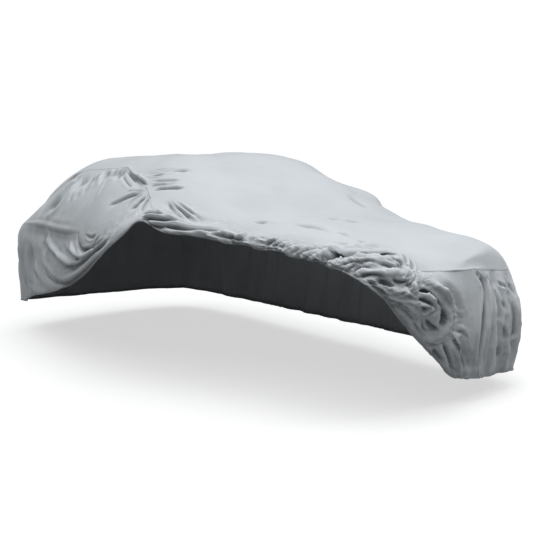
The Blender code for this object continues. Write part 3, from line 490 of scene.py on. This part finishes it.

# ---- ripples
# Small unevenness all over, from seeded waves. The length is from bump to bump; squash slows
# the waves along x, y or z; ridged ones are sharp wrinkles; the zone says where they show. The
# photograph doesn't show the unseen ones: they are invented.
Ripple = namedtuple("Ripple", "zone length height squash ridged seed")
RIPPLES = [
    Ripple("all", 0.420, 0.0026, (1, 1, 1), False, 11),
    Ripple("all", 0.130, 0.0006, (1, 1, 1), False, 12),
    Ripple("hanging", 0.200, 0.0040, (1, 1, 0.25), False, 13),
    Ripple("hanging", 0.080, 0.0012, (1, 1, 0.4), False, 14),
    Ripple("unseen", 0.300, 0.0140, (1, 1, 0.12), False, 15),
    Ripple("unseen", 0.130, 0.0050, (1, 1, 0.16), False, 16),
    Ripple("crumpled", 0.075, 0.0150, (1, 1, 1), True, 17),
    Ripple("crumpled", 0.040, 0.0050, (1, 1, 1), True, 18),
    Ripple("bunched", 0.050, 0.0110, (1, 0.3, 1), True, 21),
    Ripple("bunched", 0.030, 0.0036, (1, 0.5, 1), True, 22),
    Ripple("gathered", 0.055, 0.0110, (1, 1, 0.22), True, 23),
    Ripple("gathered", 0.034, 0.0040, (1, 1, 0.5), True, 24),
    Ripple("hem", 0.048, 0.0034, (1, 1, 0.12), False, 19),
]
WAVES = 28              # plane waves that make up a ripple
WAVE_SPREAD = (0.7, 1.4)        # the shortest and longest of them, for a length of one
RIDGE_SLOPE = 1.6       # how soon a ridge falls away from its crest
RIDGE_POWER = 1.5       # how sharp the crest is
RIDGE_LEVEL = 0.3       # how far the cloth between ridges sinks, in heights
STEEP_START = 1.15      # share of the hanging ripples that upright cloth takes, before the limit
STEEP_LOSS = 1.6        # and what of it is lost as the cloth turns level
UNSEEN_FROM = -2.2      # place along the cover where the sides that the photograph hides begin
UNSEEN_FADE = 0.9       # length over which their ripples grow
UNSEEN_LEAST = 0.10     # share of them at the corner that the photograph shows
HEM_FADE = 0.050        # length of cloth over which the hem's gathers die out
NEAR_GATHERS = 0.35     # share of them along the near side, where the hem lies stretched
NO_HEM = 9.0            # distance to the hem that stands for none

# Where the cloth is pushed together: a place above the ground, how far it reaches, how strongly.
Patch = namedtuple("Patch", "zone place radius share")
PATCHES = [
    Patch("bunched", (-0.62, -1.05, 1.02), 0.30, 0.30),
    Patch("bunched", (-0.55, -1.45, 0.98), 0.34, 0.50),
    Patch("bunched", (-0.47, -1.90, 0.93), 0.34, 0.75),
    Patch("bunched", (-0.32, -2.32, 0.87), 0.32, 1.0),
    Patch("bunched", (-0.12, -2.55, 0.74), 0.24, 0.7),
    Patch("crumpled", (-0.02, -2.56, 0.66), 0.26, 0.7),
    Patch("crumpled", (0.18, -2.55, 0.48), 0.28, 0.9),
    Patch("crumpled", (0.32, -2.46, 0.24), 0.22, 0.7),
    Patch("gathered", (0.86, -2.32, 0.42), 0.40, 0.6),
    Patch("gathered", (0.60, -2.44, 0.36), 0.30, 0.6),
    Patch("crumpled", (-0.90, -0.55, 1.05), 0.25, 0.3),
]

# ---- camera, floor and light
PHOTO_SIZE = 535                        # pixels across the square photograph
FOCAL_PIXELS = 898
CAMERA_PLACE = (-2.98, -6.197, 1.411)   # above the ground
CAMERA_TURNS = (-29.5, 6.6, -3.18)      # pan from looking along +Y, tilt down and roll, in degrees
SENSOR = 36.0                           # millimetres
CLIP_END = 200.0

FLOOR_REACH = 60.0      # from the middle of the floor to its edges
FLOOR_COLOUR = (0.30, 0.30, 0.30)       # dull to the light, so that little of it comes back up
FLOOR_ROUGHNESS = 0.9
FLOOR_SPECULAR = 0.1
FLOOR_GLOW = 0.62       # what the camera sees of the floor besides: a white studio floor
FLOOR_WHITE = (0.36, 0.36, 0.36)
BACKDROP = 1.0          # brightness of what the camera sees behind the floor
BACKDROP_COLOUR = (1.0, 1.0, 1.0)
SKY_COLOUR = (0.97, 0.985, 1.0)
LIGHTS = (0.12, 1.90)   # brightness of the light from the horizon and from overhead
SKY_ENDS = (0.42, 0.88)     # sine of the height where the overhead light begins and is full
Lamp = namedtuple("Lamp", "name place target size power")
LAMPS = [
    Lamp("overhead", (-0.4, -3.0, 4.2), (0.0, -0.6, 0.0), (2.5, 3.0), 95.0),
    Lamp("front", (3.4, -4.6, 1.6), (0.4, -2.5, 0.5), (1.2, 1.2), 30.0),
]


# ---- lines and lengths
def camera_axes():
    """Right, up and backward directions of the camera."""
    pan, tilt, roll = np.radians(CAMERA_TURNS)
    back = np.array([np.sin(pan) * np.cos(tilt), -np.cos(pan) * np.cos(tilt), np.sin(tilt)])
    level = np.cross(-back, (0, 0, 1))
    level /= np.linalg.norm(level)
    upright = np.cross(level, -back)
    right = np.cos(roll) * level + np.sin(roll) * upright
    up = np.cos(roll) * upright - np.sin(roll) * level
    return right, up, back


def unit(vectors):
    """The same directions, one long."""
    return vectors / np.linalg.norm(vectors, axis=-1, keepdims=True)


def lengths(lines):
    """Length from the first point of each line to each of its points."""
    steps = np.linalg.norm(np.diff(lines, axis=-2), axis=-1)
    return np.concatenate([np.zeros_like(steps[..., :1]), np.cumsum(steps, axis=-1)], axis=-1)


def at_length(where, along, values):
    """Values of a line at some lengths along it."""
    return np.stack([np.interp(where, along, column) for column in values.T], axis=-1)


def smooth(points, steps):
    """Curve through the points along the first axis, with so many steps to each stretch."""
    points = np.asarray(points, float)
    chord = np.linalg.norm(np.diff(points, axis=0), axis=-1, keepdims=True) + 1e-9
    slope = np.diff(points, axis=0) / chord
    tangent = np.empty_like(points)
    tangent[0] = slope[0]
    tangent[-1] = slope[-1]
    tangent[1:-1] = ((slope[:-1] * chord[1:] + slope[1:] * chord[:-1])
                     / (chord[1:] + chord[:-1]))
    curve = []
    for i, count in enumerate(steps):
        for k in range(count):
            t = k / count
            curve.append(points[i] * (2 * t**3 - 3 * t**2 + 1)
                         + tangent[i] * chord[i] * (t**3 - 2 * t**2 + t)
                         + points[i + 1] * (3 * t**2 - 2 * t**3)
                         + tangent[i + 1] * chord[i] * (t**3 - t**2))
    curve.append(points[-1])
    return np.array(curve)


def smooth_net(net, row_steps, column_steps):
    """Smooth grid of points through a net of rows and columns."""
    rows = smooth(net, row_steps)
    return np.swapaxes(smooth(np.swapaxes(rows, 0, 1), column_steps), 0, 1)


# ---- form
def section_points(row):
    """The eleven points of a section of the half that hangs straight."""
    def at(side, pair):
        return (side * pair[0], row.y, pair[1])
    return Girth(at(-1, row.near_hem), at(-1, row.near_side), at(-1, row.belt),
                 at(-1, row.seam), at(-1, row.shoulder), (0.0, row.y, row.crown),
                 at(1, row.shoulder), at(1, row.seam), at(1, row.belt), at(1, row.side),
                 at(1, row.hem))


def hanging_panel(edge, drops, first, last):
    """Grid of a panel that hangs from an edge of the top, between two corner columns."""
    knots = np.cumsum([0] + TOP_STEPS)
    net = [edge[knots]]
    for part in range(len(Drop._fields)):
        middle = [drop[part] for drop in drops]
        net.append([first[part]] + middle + [last[part]])
    return smooth_net(np.swapaxes(np.array(net), 0, 1), TOP_STEPS, SIDE_STEPS)


def form():
    """Middle surface of each panel as a grid of points, before its folds."""
    rows = [TAIL] + [section_points(row) for row in SECTIONS] + LIFTED
    girths = smooth_net(np.array(rows), LENGTH_STEPS, SIDE_STEPS[::-1] + TOP_STEPS + SIDE_STEPS)
    near_seam = sum(SIDE_STEPS)
    far_seam = near_seam + sum(TOP_STEPS)
    near = girths[:, near_seam::-1]
    top = girths[:, near_seam:far_seam + 1]
    far = girths[:, far_seam:]

    def corners(row):
        return ((row.near_belt, row.near_side, row.near_hem),
                (row.far_belt, row.far_side, row.far_hem))

    front = hanging_panel(top[-1], FRONT_DROPS, *corners(LIFTED[-1]))
    rear = hanging_panel(top[0], REAR_DROPS, *corners(TAIL))
    for panel, end in ((front, -1), (rear, 0)):
        panel[:, 0] = top[end]
        panel[0] = near[end]
        panel[-1] = far[end]
    return {"top": top, "near": near, "far": far, "front": front, "rear": rear}


def quads(numbers, flipped):
    """Faces of a grid, wound so that they look outwards."""
    faces = np.stack([numbers[:-1, :-1], numbers[1:, :-1], numbers[1:, 1:], numbers[:-1, 1:]],
                     axis=-1).reshape(-1, 4)
    return faces[:, ::-1] if flipped else faces


def ring_quads(numbers, flipped):
    """Faces of a grid that closes on itself across."""
    return quads(np.concatenate([numbers, numbers[:, :1]], axis=1), flipped).tolist()


def weld(grids):
    """All points once, and for each panel the grid of their numbers."""
    flat = np.concatenate([grid.reshape(-1, 3) for grid in grids.values()])
    points, number = np.unique(flat.round(6), axis=0, return_inverse=True)
    number = number.reshape(-1)
    numbers = {}
    first = 0
    for key, grid in grids.items():
        last = first + grid.shape[0] * grid.shape[1]
        numbers[key] = number[first:last].reshape(grid.shape[:2])
        first = last
    return points, numbers


def normals(points, numbers):
    """Outward normal of the whole cover at each point, shared by the panels that meet there."""
    total = np.zeros_like(points)
    for key, grid in numbers.items():
        faces = quads(grid, PANELS[key].flipped)
        a, b, c, d = (points[faces[:, i]] for i in range(4))
        face_normal = np.cross(c - a, d - b)
        for i in range(4):
            np.add.at(total, faces[:, i], face_normal)
    return unit(total)


# ---- folds, creases and ripples
def bell(x):
    """One at zero, nothing from one on, with a round top and soft feet."""
    return 0.5 + 0.5 * np.cos(np.pi * np.clip(x, 0, 1))


def grown(fade, least):
    """Share that grows from its least to one as the fade does."""
    return least + (1 - least) * fade


def along_line(points, line, fade_share):
    """Distance of each point from a line of straight pieces, and how far the line has grown there.

    The line grows from nothing to one over a share of its length at both ends.
    """
    nearest = np.full(len(points), np.inf)
    place = np.zeros(len(points))
    for i in range(len(line) - 1):
        step = line[i + 1] - line[i]
        s = np.clip((points - line[i]) @ step / max(step @ step, 1e-12), 0, 1)
        distance = np.linalg.norm(points - line[i] - s[:, None] * step, axis=-1)
        closer = distance < nearest
        nearest = np.where(closer, distance, nearest)
        place = np.where(closer, (i + s) / (len(line) - 1), place)
    return nearest, np.clip(np.minimum(place, 1 - place) / fade_share, 0, 1)


def main_folds(points, group):
    """How far the main folds of a group lift each point."""
    flat = points[:, ["xyz".index(letter) for letter in group.view]]
    lift = np.zeros(len(points))
    for fold in map(Fold._make, group.folds):
        t = np.linspace(0, 1, FOLD_CHORDS + 1)[:, None]
        start, bend, end = (np.array(p) for p in (fold.start, fold.bend, fold.end))
        line = start * (1 - t)**2 + bend * 2 * t * (1 - t) + end * t**2
        nearest, fade = along_line(flat, line, FOLD_FADE)
        lift += fold.height * bell(nearest / fold.width) * grown(fade, FOLD_END_HEIGHT)
    reach = np.minimum(group.behind - points[:, 1], points[:, 1] - group.before)
    return lift * np.clip(reach / GROUP_FADE, 0, 1)


def seen(points, outward):
    """Pixel of the photograph and distance at which the camera sees each point of the form."""
    right, up, back = camera_axes()
    away = points - np.array(CAMERA_PLACE)
    depth = -(away @ back)
    across = PHOTO_SIZE / 2 + FOCAL_PIXELS * (away @ right) / depth
    down = PHOTO_SIZE / 2 - FOCAL_PIXELS * (away @ up) / depth
    hidden = np.sum(away * outward, axis=1) > 0
    return np.stack([across, down], axis=1), np.where(hidden, np.inf, depth)


def on_form(path, points, pixels, depth):
    """Line over the form that shows along a path of pixels."""
    line = []
    for pixel in path:
        offset = np.linalg.norm(pixels - pixel, axis=1)
        near = np.flatnonzero((offset < SEEN_RADIUS) & np.isfinite(depth))
        if near.size:
            near = near[depth[near] < depth[near].min() + SEEN_DEPTH]
            weight = 1 / (offset[near]**2 + SEEN_BLEND)**2
            line.append(weight @ points[near] / weight.sum())
    line = np.array(line)
    line[1:-1] = (line[:-2] + line[1:-1] + line[2:]) / 3
    return line


def fine_creases(points, outward):
    """How far the creases in the photograph lift each point, and how far the narrow ones do, which sets
    their painted shade and highlight.
    """
    pixels, depth = seen(points, outward)
    lift = np.zeros(len(points))
    narrow = np.zeros(len(points))
    for crease in map(Crease._make, CREASES_SEEN):
        path = smooth(crease.pixels, [CREASE_CHORDS] * (len(crease.pixels) - 1))
        line = on_form(path, points, pixels, depth)
        reach = crease.width * LIP_REACH
        near = np.flatnonzero(np.all((points > line.min(axis=0) - reach)
                                     & (points < line.max(axis=0) + reach), axis=1))
        nearest, fade = along_line(points[near], line, CREASE_FADE)
        x = nearest / (crease.width * grown(fade, CREASE_END_WIDTH))
        lip = bell(np.abs(x - LIP_PLACE) / (LIP_REACH - LIP_PLACE))
        rise = crease.height * (bell(x) - LIP_SHARE * lip) * grown(fade, CREASE_END_HEIGHT)
        lift[near] += rise
        narrow[near] += rise * min(1.0, SHADE_WIDTH / crease.width)
    return lift, narrow


def ripples(points, ripple):
    """Smooth random field of bumps of a ripple's length, about one high."""
    rng = np.random.default_rng(ripple.seed)
    field = np.zeros(len(points))
    for _ in range(WAVES):
        direction = rng.normal(size=3)
        pace = 2 * np.pi / (np.linalg.norm(direction) * ripple.length * rng.uniform(*WAVE_SPREAD))
        field += np.sin(points @ (direction * pace * ripple.squash) + rng.uniform(0, 2 * np.pi))
    return field * (2 / WAVES)**0.5


def hem_distance(points, numbers):
    """Length of cloth from each point down to the hem of its panel."""
    distance = np.full(len(points), NO_HEM)
    for key, grid in numbers.items():
        if PANELS[key].hemmed:
            upwards = grid[:, ::-1]
            distance[upwards] = np.minimum(distance[upwards], lengths(points[upwards]))
    return distance


def zones(points, numbers, outward, to_hem):
    """Share of each kind of ripple that each point takes, by the kind's name."""
    hanging = np.clip(STEEP_START - STEEP_LOSS * np.abs(outward[:, 2]), 0, 1)
    shares = {patch.zone: np.zeros(len(points)) for patch in PATCHES}
    for patch in PATCHES:
        away = np.linalg.norm(points - np.array(patch.place), axis=1)
        strength = patch.share * bell(away / patch.radius)
        shares[patch.zone] = np.maximum(shares[patch.zone], strength)
    plain = np.zeros(len(points))
    used = np.unique(np.concatenate([numbers[key].ravel() for key in ("far", "rear")]))
    plain[used] = np.clip((points[used, 1] - UNSEEN_FROM) / UNSEEN_FADE, UNSEEN_LEAST, 1)
    drawn_in = np.exp(-to_hem / HEM_FADE)
    drawn_in[np.unique(numbers["near"])] *= NEAR_GATHERS
    shares.update({"all": np.ones(len(points)), "hanging": hanging, "unseen": hanging * plain,
                   "hem": drawn_in})
    return shares


def raised(points, numbers):
    """The welded cover with its folds, creases and ripples, and how deep each point is creased, which
    sets its painted shade and highlight.
    """
    outward = normals(points, numbers)
    lift = np.zeros(len(points))
    for group in FOLD_GROUPS:
        grid = numbers[group.panel]
        used = np.unique(grid[:, 1:-1] if group.panel == "top" else grid[:, 1:])
        lift[used] += main_folds(points[used], group)
    from_hem = np.arange(sum(SIDE_STEPS) + 1)[::-1] / SIDE_STEPS[-1]
    slack = np.ones(len(points))
    slack[numbers["near"]] = grown(np.clip(from_hem, 0, 1), NEAR_HEM_SHARE)
    points = points + outward * (lift * slack)[:, None]

    outward = normals(points, numbers)
    lift, creased = fine_creases(points, outward)
    to_hem = hem_distance(points, numbers)
    shares = zones(points, numbers, outward, to_hem)
    for ripple in RIPPLES:
        field = ripples(points, ripple)
        if ripple.ridged:
            field = np.clip(1 - np.abs(field) * RIDGE_SLOPE, 0, 1)**RIDGE_POWER - RIDGE_LEVEL
            # the sharp wrinkles also take painted shade and highlight
            creased += ripple.height * field * shares[ripple.zone]
        lift += ripple.height * field * shares[ripple.zone]
    # painted shade where the cloth is bunched and along the hem
    creased -= BUNCH_SHADE * shares["bunched"]
    creased -= HEM_SHADE * np.exp(-to_hem / HEM_SHADE_FADE)
    near = np.unique(numbers["near"])
    lift[near] *= np.clip(to_hem[near] / NEAR_HEM_BAND, NEAR_HEM_LEAST, 1)
    return points + outward * lift[:, None], np.clip(creased / SHADE_DEPTH, -1, 1)


# ---- meshes
def new_mesh(name, points, faces):
    """Smooth mesh of some points and faces."""
    mesh = bpy.data.meshes.new(name)
    mesh.from_pydata(np.asarray(points).tolist(), [], faces)
    mesh.update()
    mesh.shade_smooth()
    return mesh


def shortened(grid, outward):
    """The same cloth with its lines ending short of the hem by the size of the roll."""
    both = np.concatenate([grid, outward], axis=2)
    for i, along in enumerate(lengths(grid)):
        kept = along * (1 - HEM_ROLL * HEM_SHORT / along[-1])
        both[i] = at_length(kept, along, both[i])
    return both[..., :3], both[..., 3:]


def hem_roll(grid, outward):
    """Points round the roll that each line of the cloth ends in."""
    down = unit(grid[:, -1] - grid[:, -3])
    facing = outward[:, -1]
    centre = grid[:, -1] + down * HEM_ROLL * HEM_SUNK
    angles = np.pi * np.linspace(*HEM_ARC, HEM_STEPS)
    return np.stack([centre + HEM_ROLL * (np.cos(a) * facing + np.sin(a) * down)
                     for a in angles], axis=1)


def panel_mesh(name, grid, outward, creased, panel):
    """Closed sheet of the cloth's thickness about a grid of points, with its hem rolled."""
    rows, columns = grid.shape[:2]
    if panel.hemmed:
        grid, outward = shortened(grid, outward)
    rings = [grid + outward * CLOTH / 2, (grid - outward * CLOTH / 2)[:, ::-1]]
    if panel.hemmed:
        rings.insert(1, hem_roll(grid, outward))
    wrapped = np.concatenate(rings, axis=1)
    around = wrapped.shape[1]
    # the roll of the hem takes the hem's painted shade
    rolled = np.full((rows, around - 2 * columns), -HEM_SHADE / SHADE_DEPTH)
    shade = np.concatenate([creased, rolled, creased[:, ::-1]], axis=1)
    numbers = np.arange(rows * around).reshape(rows, around)
    faces = ring_quads(numbers, panel.flipped)
    for end, turned in ((0, panel.flipped), (rows - 1, not panel.flipped)):
        ring = numbers[end].tolist()
        caps = [[ring[j], ring[j + 1], ring[around - 2 - j], ring[around - 1 - j]]
                for j in range(columns - 1)]
        if panel.hemmed:
            caps.append(ring[columns - 1:around - columns + 1])
        faces += caps if turned else [cap[::-1] for cap in caps]
    mesh = new_mesh(name, wrapped.reshape(-1, 3), faces)
    # the attribute that sets the painted shade and highlight of the cloth
    mesh.attributes.new(CREASED, "FLOAT", "POINT").data.foreach_set("value", shade.ravel())
    return mesh


def inwards(lines, distance):
    """Points a given length of cloth in from the first point of each line."""
    return np.array([at_length(distance, along, line)
                     for along, line in zip(lengths(lines), lines)])


def seam_lines(grids, facings):
    """For each seam, the lines of cloth that run in from it on both sides, and its normals."""
    top, near, far, front, rear = (grids[key] for key in ("top", "near", "far", "front", "rear"))
    across = np.swapaxes(top, 0, 1)
    return [
        (top, near, facings["top"][:, 0]),
        (top[:, ::-1], far, facings["top"][:, -1]),
        (across[:, ::-1], front, facings["top"][-1]),
        (across, rear, facings["top"][0]),
        (np.swapaxes(near[::-1], 0, 1), np.swapaxes(front, 0, 1), facings["near"][-1]),
        (np.swapaxes(near, 0, 1), np.swapaxes(rear, 0, 1), facings["near"][0]),
        (np.swapaxes(far[::-1], 0, 1), np.swapaxes(front[::-1], 0, 1), facings["far"][-1]),
        (np.swapaxes(far, 0, 1), np.swapaxes(rear[::-1], 0, 1), facings["far"][0]),
    ]


def seam_strip(lines_a, lines_b, facing):
    """Section points of a felled seam that follows the cloth on both of its sides."""
    low = facing * (CLOTH / 2 - SEAM_SUNK)
    high = facing * (CLOTH / 2 + SEAM_RISE)
    middle = lines_a[:, 0]
    flanks_a = [inwards(lines_a, SEAM_WIDTH * share) for share in SEAM_SHARES]
    flanks_b = [inwards(lines_b, SEAM_WIDTH * share) for share in SEAM_SHARES[::-1]]
    over = [point + high for point in [*flanks_a[1:], middle, *flanks_b[:-1]]]
    return np.stack([flanks_a[0] + low, *over, flanks_b[-1] + low, middle + low], axis=1)


def seams(strips):
    """Mesh of some closed strips."""
    points = []
    faces = []
    count = 0
    for strip in strips:
        rows, around = strip.shape[:2]
        numbers = count + np.arange(rows * around).reshape(rows, around)
        across = strip[:, -2] - strip[:, 0]
        along = np.gradient(strip[:, 3], axis=0)
        outward = strip[:, 3] - strip[:, -1]
        turned = np.sum(np.cross(along, across) * outward) < 0
        ends = [numbers[0].tolist(), numbers[-1, ::-1].tolist()]
        faces += ring_quads(numbers, turned) + ([end[::-1] for end in ends] if turned else ends)
        points.append(strip.reshape(-1, 3))
        count += rows * around
    return new_mesh("seams", np.concatenate(points), faces)


def stitch_line(line, facing):
    """Places along a line, with its direction and its outward normal, one to each stitch."""
    along = lengths(line)
    spots = np.arange(STITCH_PITCH, along[-1] - STITCH_PITCH, STITCH_PITCH)
    reach = STITCH_SIZE[0] / 2
    ahead = unit(at_length(spots + reach, along, line) - at_length(spots - reach, along, line))
    up = at_length(spots, along, facing)
    up = unit(up - ahead * np.sum(up * ahead, axis=1, keepdims=True))
    return at_length(spots, along, line), ahead, up


def stitches(rows):
    """Mesh of every stitch of some rows: a short low bar with its ends sunk in the cloth."""
    length, width, height = STITCH_SIZE
    points = []
    for place, ahead, up in rows:
        beside = np.cross(ahead, up)
        bars = [place + ahead * along * length / 2 + beside * across * width / 2
                + up * rise * height for along, across, rise in STITCH_BAR]
        points.append(np.stack(bars, axis=1).reshape(-1, 3))
    points = np.concatenate(points)
    faces = [[first + n for n in face] for first in range(0, len(points), len(STITCH_BAR))
             for face in STITCH_FACES]
    return new_mesh("stitches", points, faces)


# ---- materials
def feed(tree, node, inputs):
    """Give the inputs of a node their values, or link them to the outputs of other nodes."""
    for name, value in inputs.items():
        if isinstance(value, bpy.types.NodeSocket):
            tree.links.new(value, node.inputs[name])
        else:
            node.inputs[name].default_value = value


def add_node(tree, kind, output, inputs=None, **settings):
    """Output of a new node with its settings and its inputs."""
    node = tree.nodes.new(kind)
    for name, value in settings.items():
        setattr(node, name, value)
    feed(tree, node, inputs or {})
    return node.outputs[output]


def mapped(tree, value, ends, results, **settings):
    """A value between two ends, carried over to between two results."""
    return add_node(tree, "ShaderNodeMapRange", "Result", {
        "Value": value, "From Min": ends[0], "From Max": ends[1],
        "To Min": results[0], "To Max": results[1]}, **settings)


def mixed(tree, share, first, second):
    """Colour with a share of the second one in the first."""
    return add_node(tree, "ShaderNodeMix", "Result", {"Factor": share, "A": first, "B": second},
                    data_type="RGBA")


def camera_sees(tree, output, lighting, sight):
    """Surface that lights the scene in one way and looks to the camera in another."""
    on_camera = add_node(tree, "ShaderNodeLightPath", "Is Camera Ray")
    choice = add_node(tree, "ShaderNodeMixShader", "Shader", {"Fac": on_camera, 1: lighting, 2: sight})
    feed(tree, tree.nodes[output], {"Surface": choice})


def opaque(colour):
    """Colour with its alpha."""
    return (*colour, 1.0)


def new_material(name):
    """Material with its nodes and its shader."""
    material = bpy.data.materials.new(name)
    material.use_nodes = True
    return material, material.node_tree, material.node_tree.nodes["Principled BSDF"]


def cloth_colour(tree, cloudy, light, dark):
    """Cloth a little uneven in tone, with painted shade in its creases and painted highlights on their
    ridges.
    """
    colour = mixed(tree, mapped(tree, cloudy, TONE_ENDS, (0, 1)), opaque(dark), opaque(light))
    depth = add_node(tree, "ShaderNodeAttribute", "Fac", attribute_name=CREASED)
    # painted shade in the troughs of the creases
    painted_shade = mapped(tree, depth, (0, -1), (0, SHADE_SHARE))
    colour = mixed(tree, painted_shade, colour, opaque(SHADE_COLOUR))
    # painted highlight along their ridges
    ridged = mapped(tree, depth, (0, 1), (0, HIGHLIGHT_SHARE))
    return mixed(tree, ridged, colour, opaque(HIGHLIGHT_COLOUR))


def cloth_material(name, light, dark, weave_depth):
    """Matt coated cloth with shallow ribs and small dents."""
    material, tree, shader = new_material(name)
    space = add_node(tree, "ShaderNodeTexCoord", "Object")

    def noise(grain):
        return add_node(tree, "ShaderNodeTexNoise", "Fac", {
            "Scale": grain.scale, "Detail": grain.detail, "Vector": space})

    def ribs(direction):
        return add_node(tree, "ShaderNodeTexWave", "Fac", {
            "Scale": RIB_SCALE, "Distortion": RIB_WANDER, "Vector": space},
            bands_direction=direction)

    def total(first, second):
        return add_node(tree, "ShaderNodeMath", "Value", {0: first, 1: second}, operation="ADD")

    weave = total(total(ribs("X"), ribs("Y")), ribs("Z"))
    fine = add_node(tree, "ShaderNodeBump", "Normal", {
        "Strength": WEAVE_STRENGTH, "Distance": weave_depth, "Height": weave})
    dents = add_node(tree, "ShaderNodeBump", "Normal", {
        "Strength": DENTS_STRENGTH, "Distance": DENTS_DEPTH, "Height": noise(DENTS_GRAIN),
        "Normal": fine})
    feed(tree, shader, {
        "Base Color": cloth_colour(tree, noise(TONE_GRAIN), light, dark),
        "Roughness": mapped(tree, noise(ROUGH_GRAIN), (0, 1), ROUGHNESS),
        "Specular IOR Level": SPECULAR,
        "Sheen Weight": SHEEN,
        "Sheen Roughness": SHEEN_ROUGHNESS,
        "Normal": dents})
    return material


# ---- the cover
def put(name, data):
    """New object of the scene."""
    thing = bpy.data.objects.new(name, data)
    bpy.context.scene.collection.objects.link(thing)
    return thing


def placed(mesh, material):
    """New piece of the cover, riding with the rest of it."""
    mesh.materials.append(material)
    piece = put(mesh.name, mesh)
    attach(piece, "root")
    return piece


def make_trim(grids, facings, cloth, thread):
    """The felled seams, and every row of stitches."""
    strips = []
    rows = []
    for lines_a, lines_b, facing in seam_lines(grids, facings):
        strips.append(seam_strip(lines_a, lines_b, facing))
        proud = facing * (CLOTH / 2 + SEAM_RISE)
        for lines in (lines_a, lines_b):
            side = inwards(lines, SEAM_WIDTH / 2 - STITCH_INSET)
            rows.append(stitch_line(side + proud, facing))
    for key, panel in PANELS.items():
        if panel.hemmed:
            side = inwards(grids[key][:, ::-1], HEM_STITCH)
            facing = facings[key][:, -2]
            rows.append(stitch_line(side + facing * CLOTH / 2, facing))
    return [placed(seams(strips), cloth), placed(stitches(rows), thread)]


def make_cover():
    """Every piece of the cover, in the frame of its solids."""
    points, numbers = weld(form())
    points, creased = raised(points, numbers)
    outward = normals(points, numbers)
    points = points - np.array([0.0, 0.0, MOUNT_HEIGHT])
    grids = {key: points[grid] for key, grid in numbers.items()}
    facings = {key: outward[grid] for key, grid in numbers.items()}
    cloth = cloth_material("cloth", CLOTH_LIGHT, CLOTH_DARK, CLOTH_WEAVE)
    thread = cloth_material("thread", THREAD_LIGHT, THREAD_DARK, THREAD_WEAVE)
    trim = make_trim(grids, facings, cloth, thread)
    for key, panel in PANELS.items():
        mesh = panel_mesh(key + "_cloth", grids[key], facings[key], creased[numbers[key]], panel)
        piece = placed(mesh, cloth)
        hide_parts(panel.node)


# ---- the stage
def make_stage():
    """Floor that is dull to the light and white to the camera."""
    material, tree, shader = new_material("floor")
    feed(tree, shader, {"Base Color": opaque(FLOOR_COLOUR), "Roughness": FLOOR_ROUGHNESS,
                        "Specular IOR Level": FLOOR_SPECULAR})
    glow = add_node(tree, "ShaderNodeEmission", "Emission", {"Strength": FLOOR_GLOW})
    white = add_node(tree, "ShaderNodeBsdfDiffuse", "BSDF", {"Color": opaque(FLOOR_WHITE)})
    bright = add_node(tree, "ShaderNodeAddShader", "Shader", {0: glow, 1: white})
    camera_sees(tree, "Material Output", shader.outputs["BSDF"], bright)
    corners = [(x * FLOOR_REACH, y * FLOOR_REACH, -MOUNT_HEIGHT)
               for x, y in ((-1, -1), (1, -1), (1, 1), (-1, 1))]
    mesh = new_mesh("floor", corners, [(0, 1, 2, 3)])
    mesh.materials.append(material)
    put("floor", mesh)


def make_light():
    """Soft light from the whole of the ceiling, two lamps, and a white backdrop."""
    for lamp in LAMPS:
        light = bpy.data.lights.new(lamp.name, "AREA")
        light.shape = "RECTANGLE"
        light.size, light.size_y = lamp.size
        light.energy = lamp.power
        holder = put(lamp.name, light)
        holder.location = lamp.place
        aim = Vector(lamp.target) - Vector(lamp.place)
        holder.rotation_euler = aim.to_track_quat("-Z", "Y").to_euler()
    world = bpy.data.worlds.new("studio")
    bpy.context.scene.world = world
    world.use_nodes = True
    tree = world.node_tree
    towards = add_node(tree, "ShaderNodeTexCoord", "Generated")
    height = add_node(tree, "ShaderNodeSeparateXYZ", "Z", {"Vector": towards})
    sky = tree.nodes["Background"]
    feed(tree, sky, {
        "Color": opaque(SKY_COLOUR),
        "Strength": mapped(tree, height, SKY_ENDS, LIGHTS, interpolation_type="SMOOTHSTEP")})
    backdrop = add_node(tree, "ShaderNodeBackground", "Background", {
        "Color": opaque(BACKDROP_COLOUR), "Strength": BACKDROP})
    camera_sees(tree, "World Output", sky.outputs["Background"], backdrop)
    bpy.context.scene.view_settings.view_transform = "Standard"


def make_camera():
    """Camera that stands where the photograph was taken from."""
    camera = bpy.data.cameras.new("camera")
    camera.sensor_width = SENSOR
    camera.lens = SENSOR * FOCAL_PIXELS / PHOTO_SIZE
    camera.clip_end = CLIP_END
    holder = put("camera", camera)
    pose = np.eye(4)
    place = np.array(CAMERA_PLACE) - np.array([0.0, 0.0, MOUNT_HEIGHT])
    pose[:3] = np.column_stack([*camera_axes(), place])
    holder.matrix_world = Matrix(pose.tolist())
    bpy.context.scene.camera = holder


make_cover()
make_stage()
make_light()
make_camera()
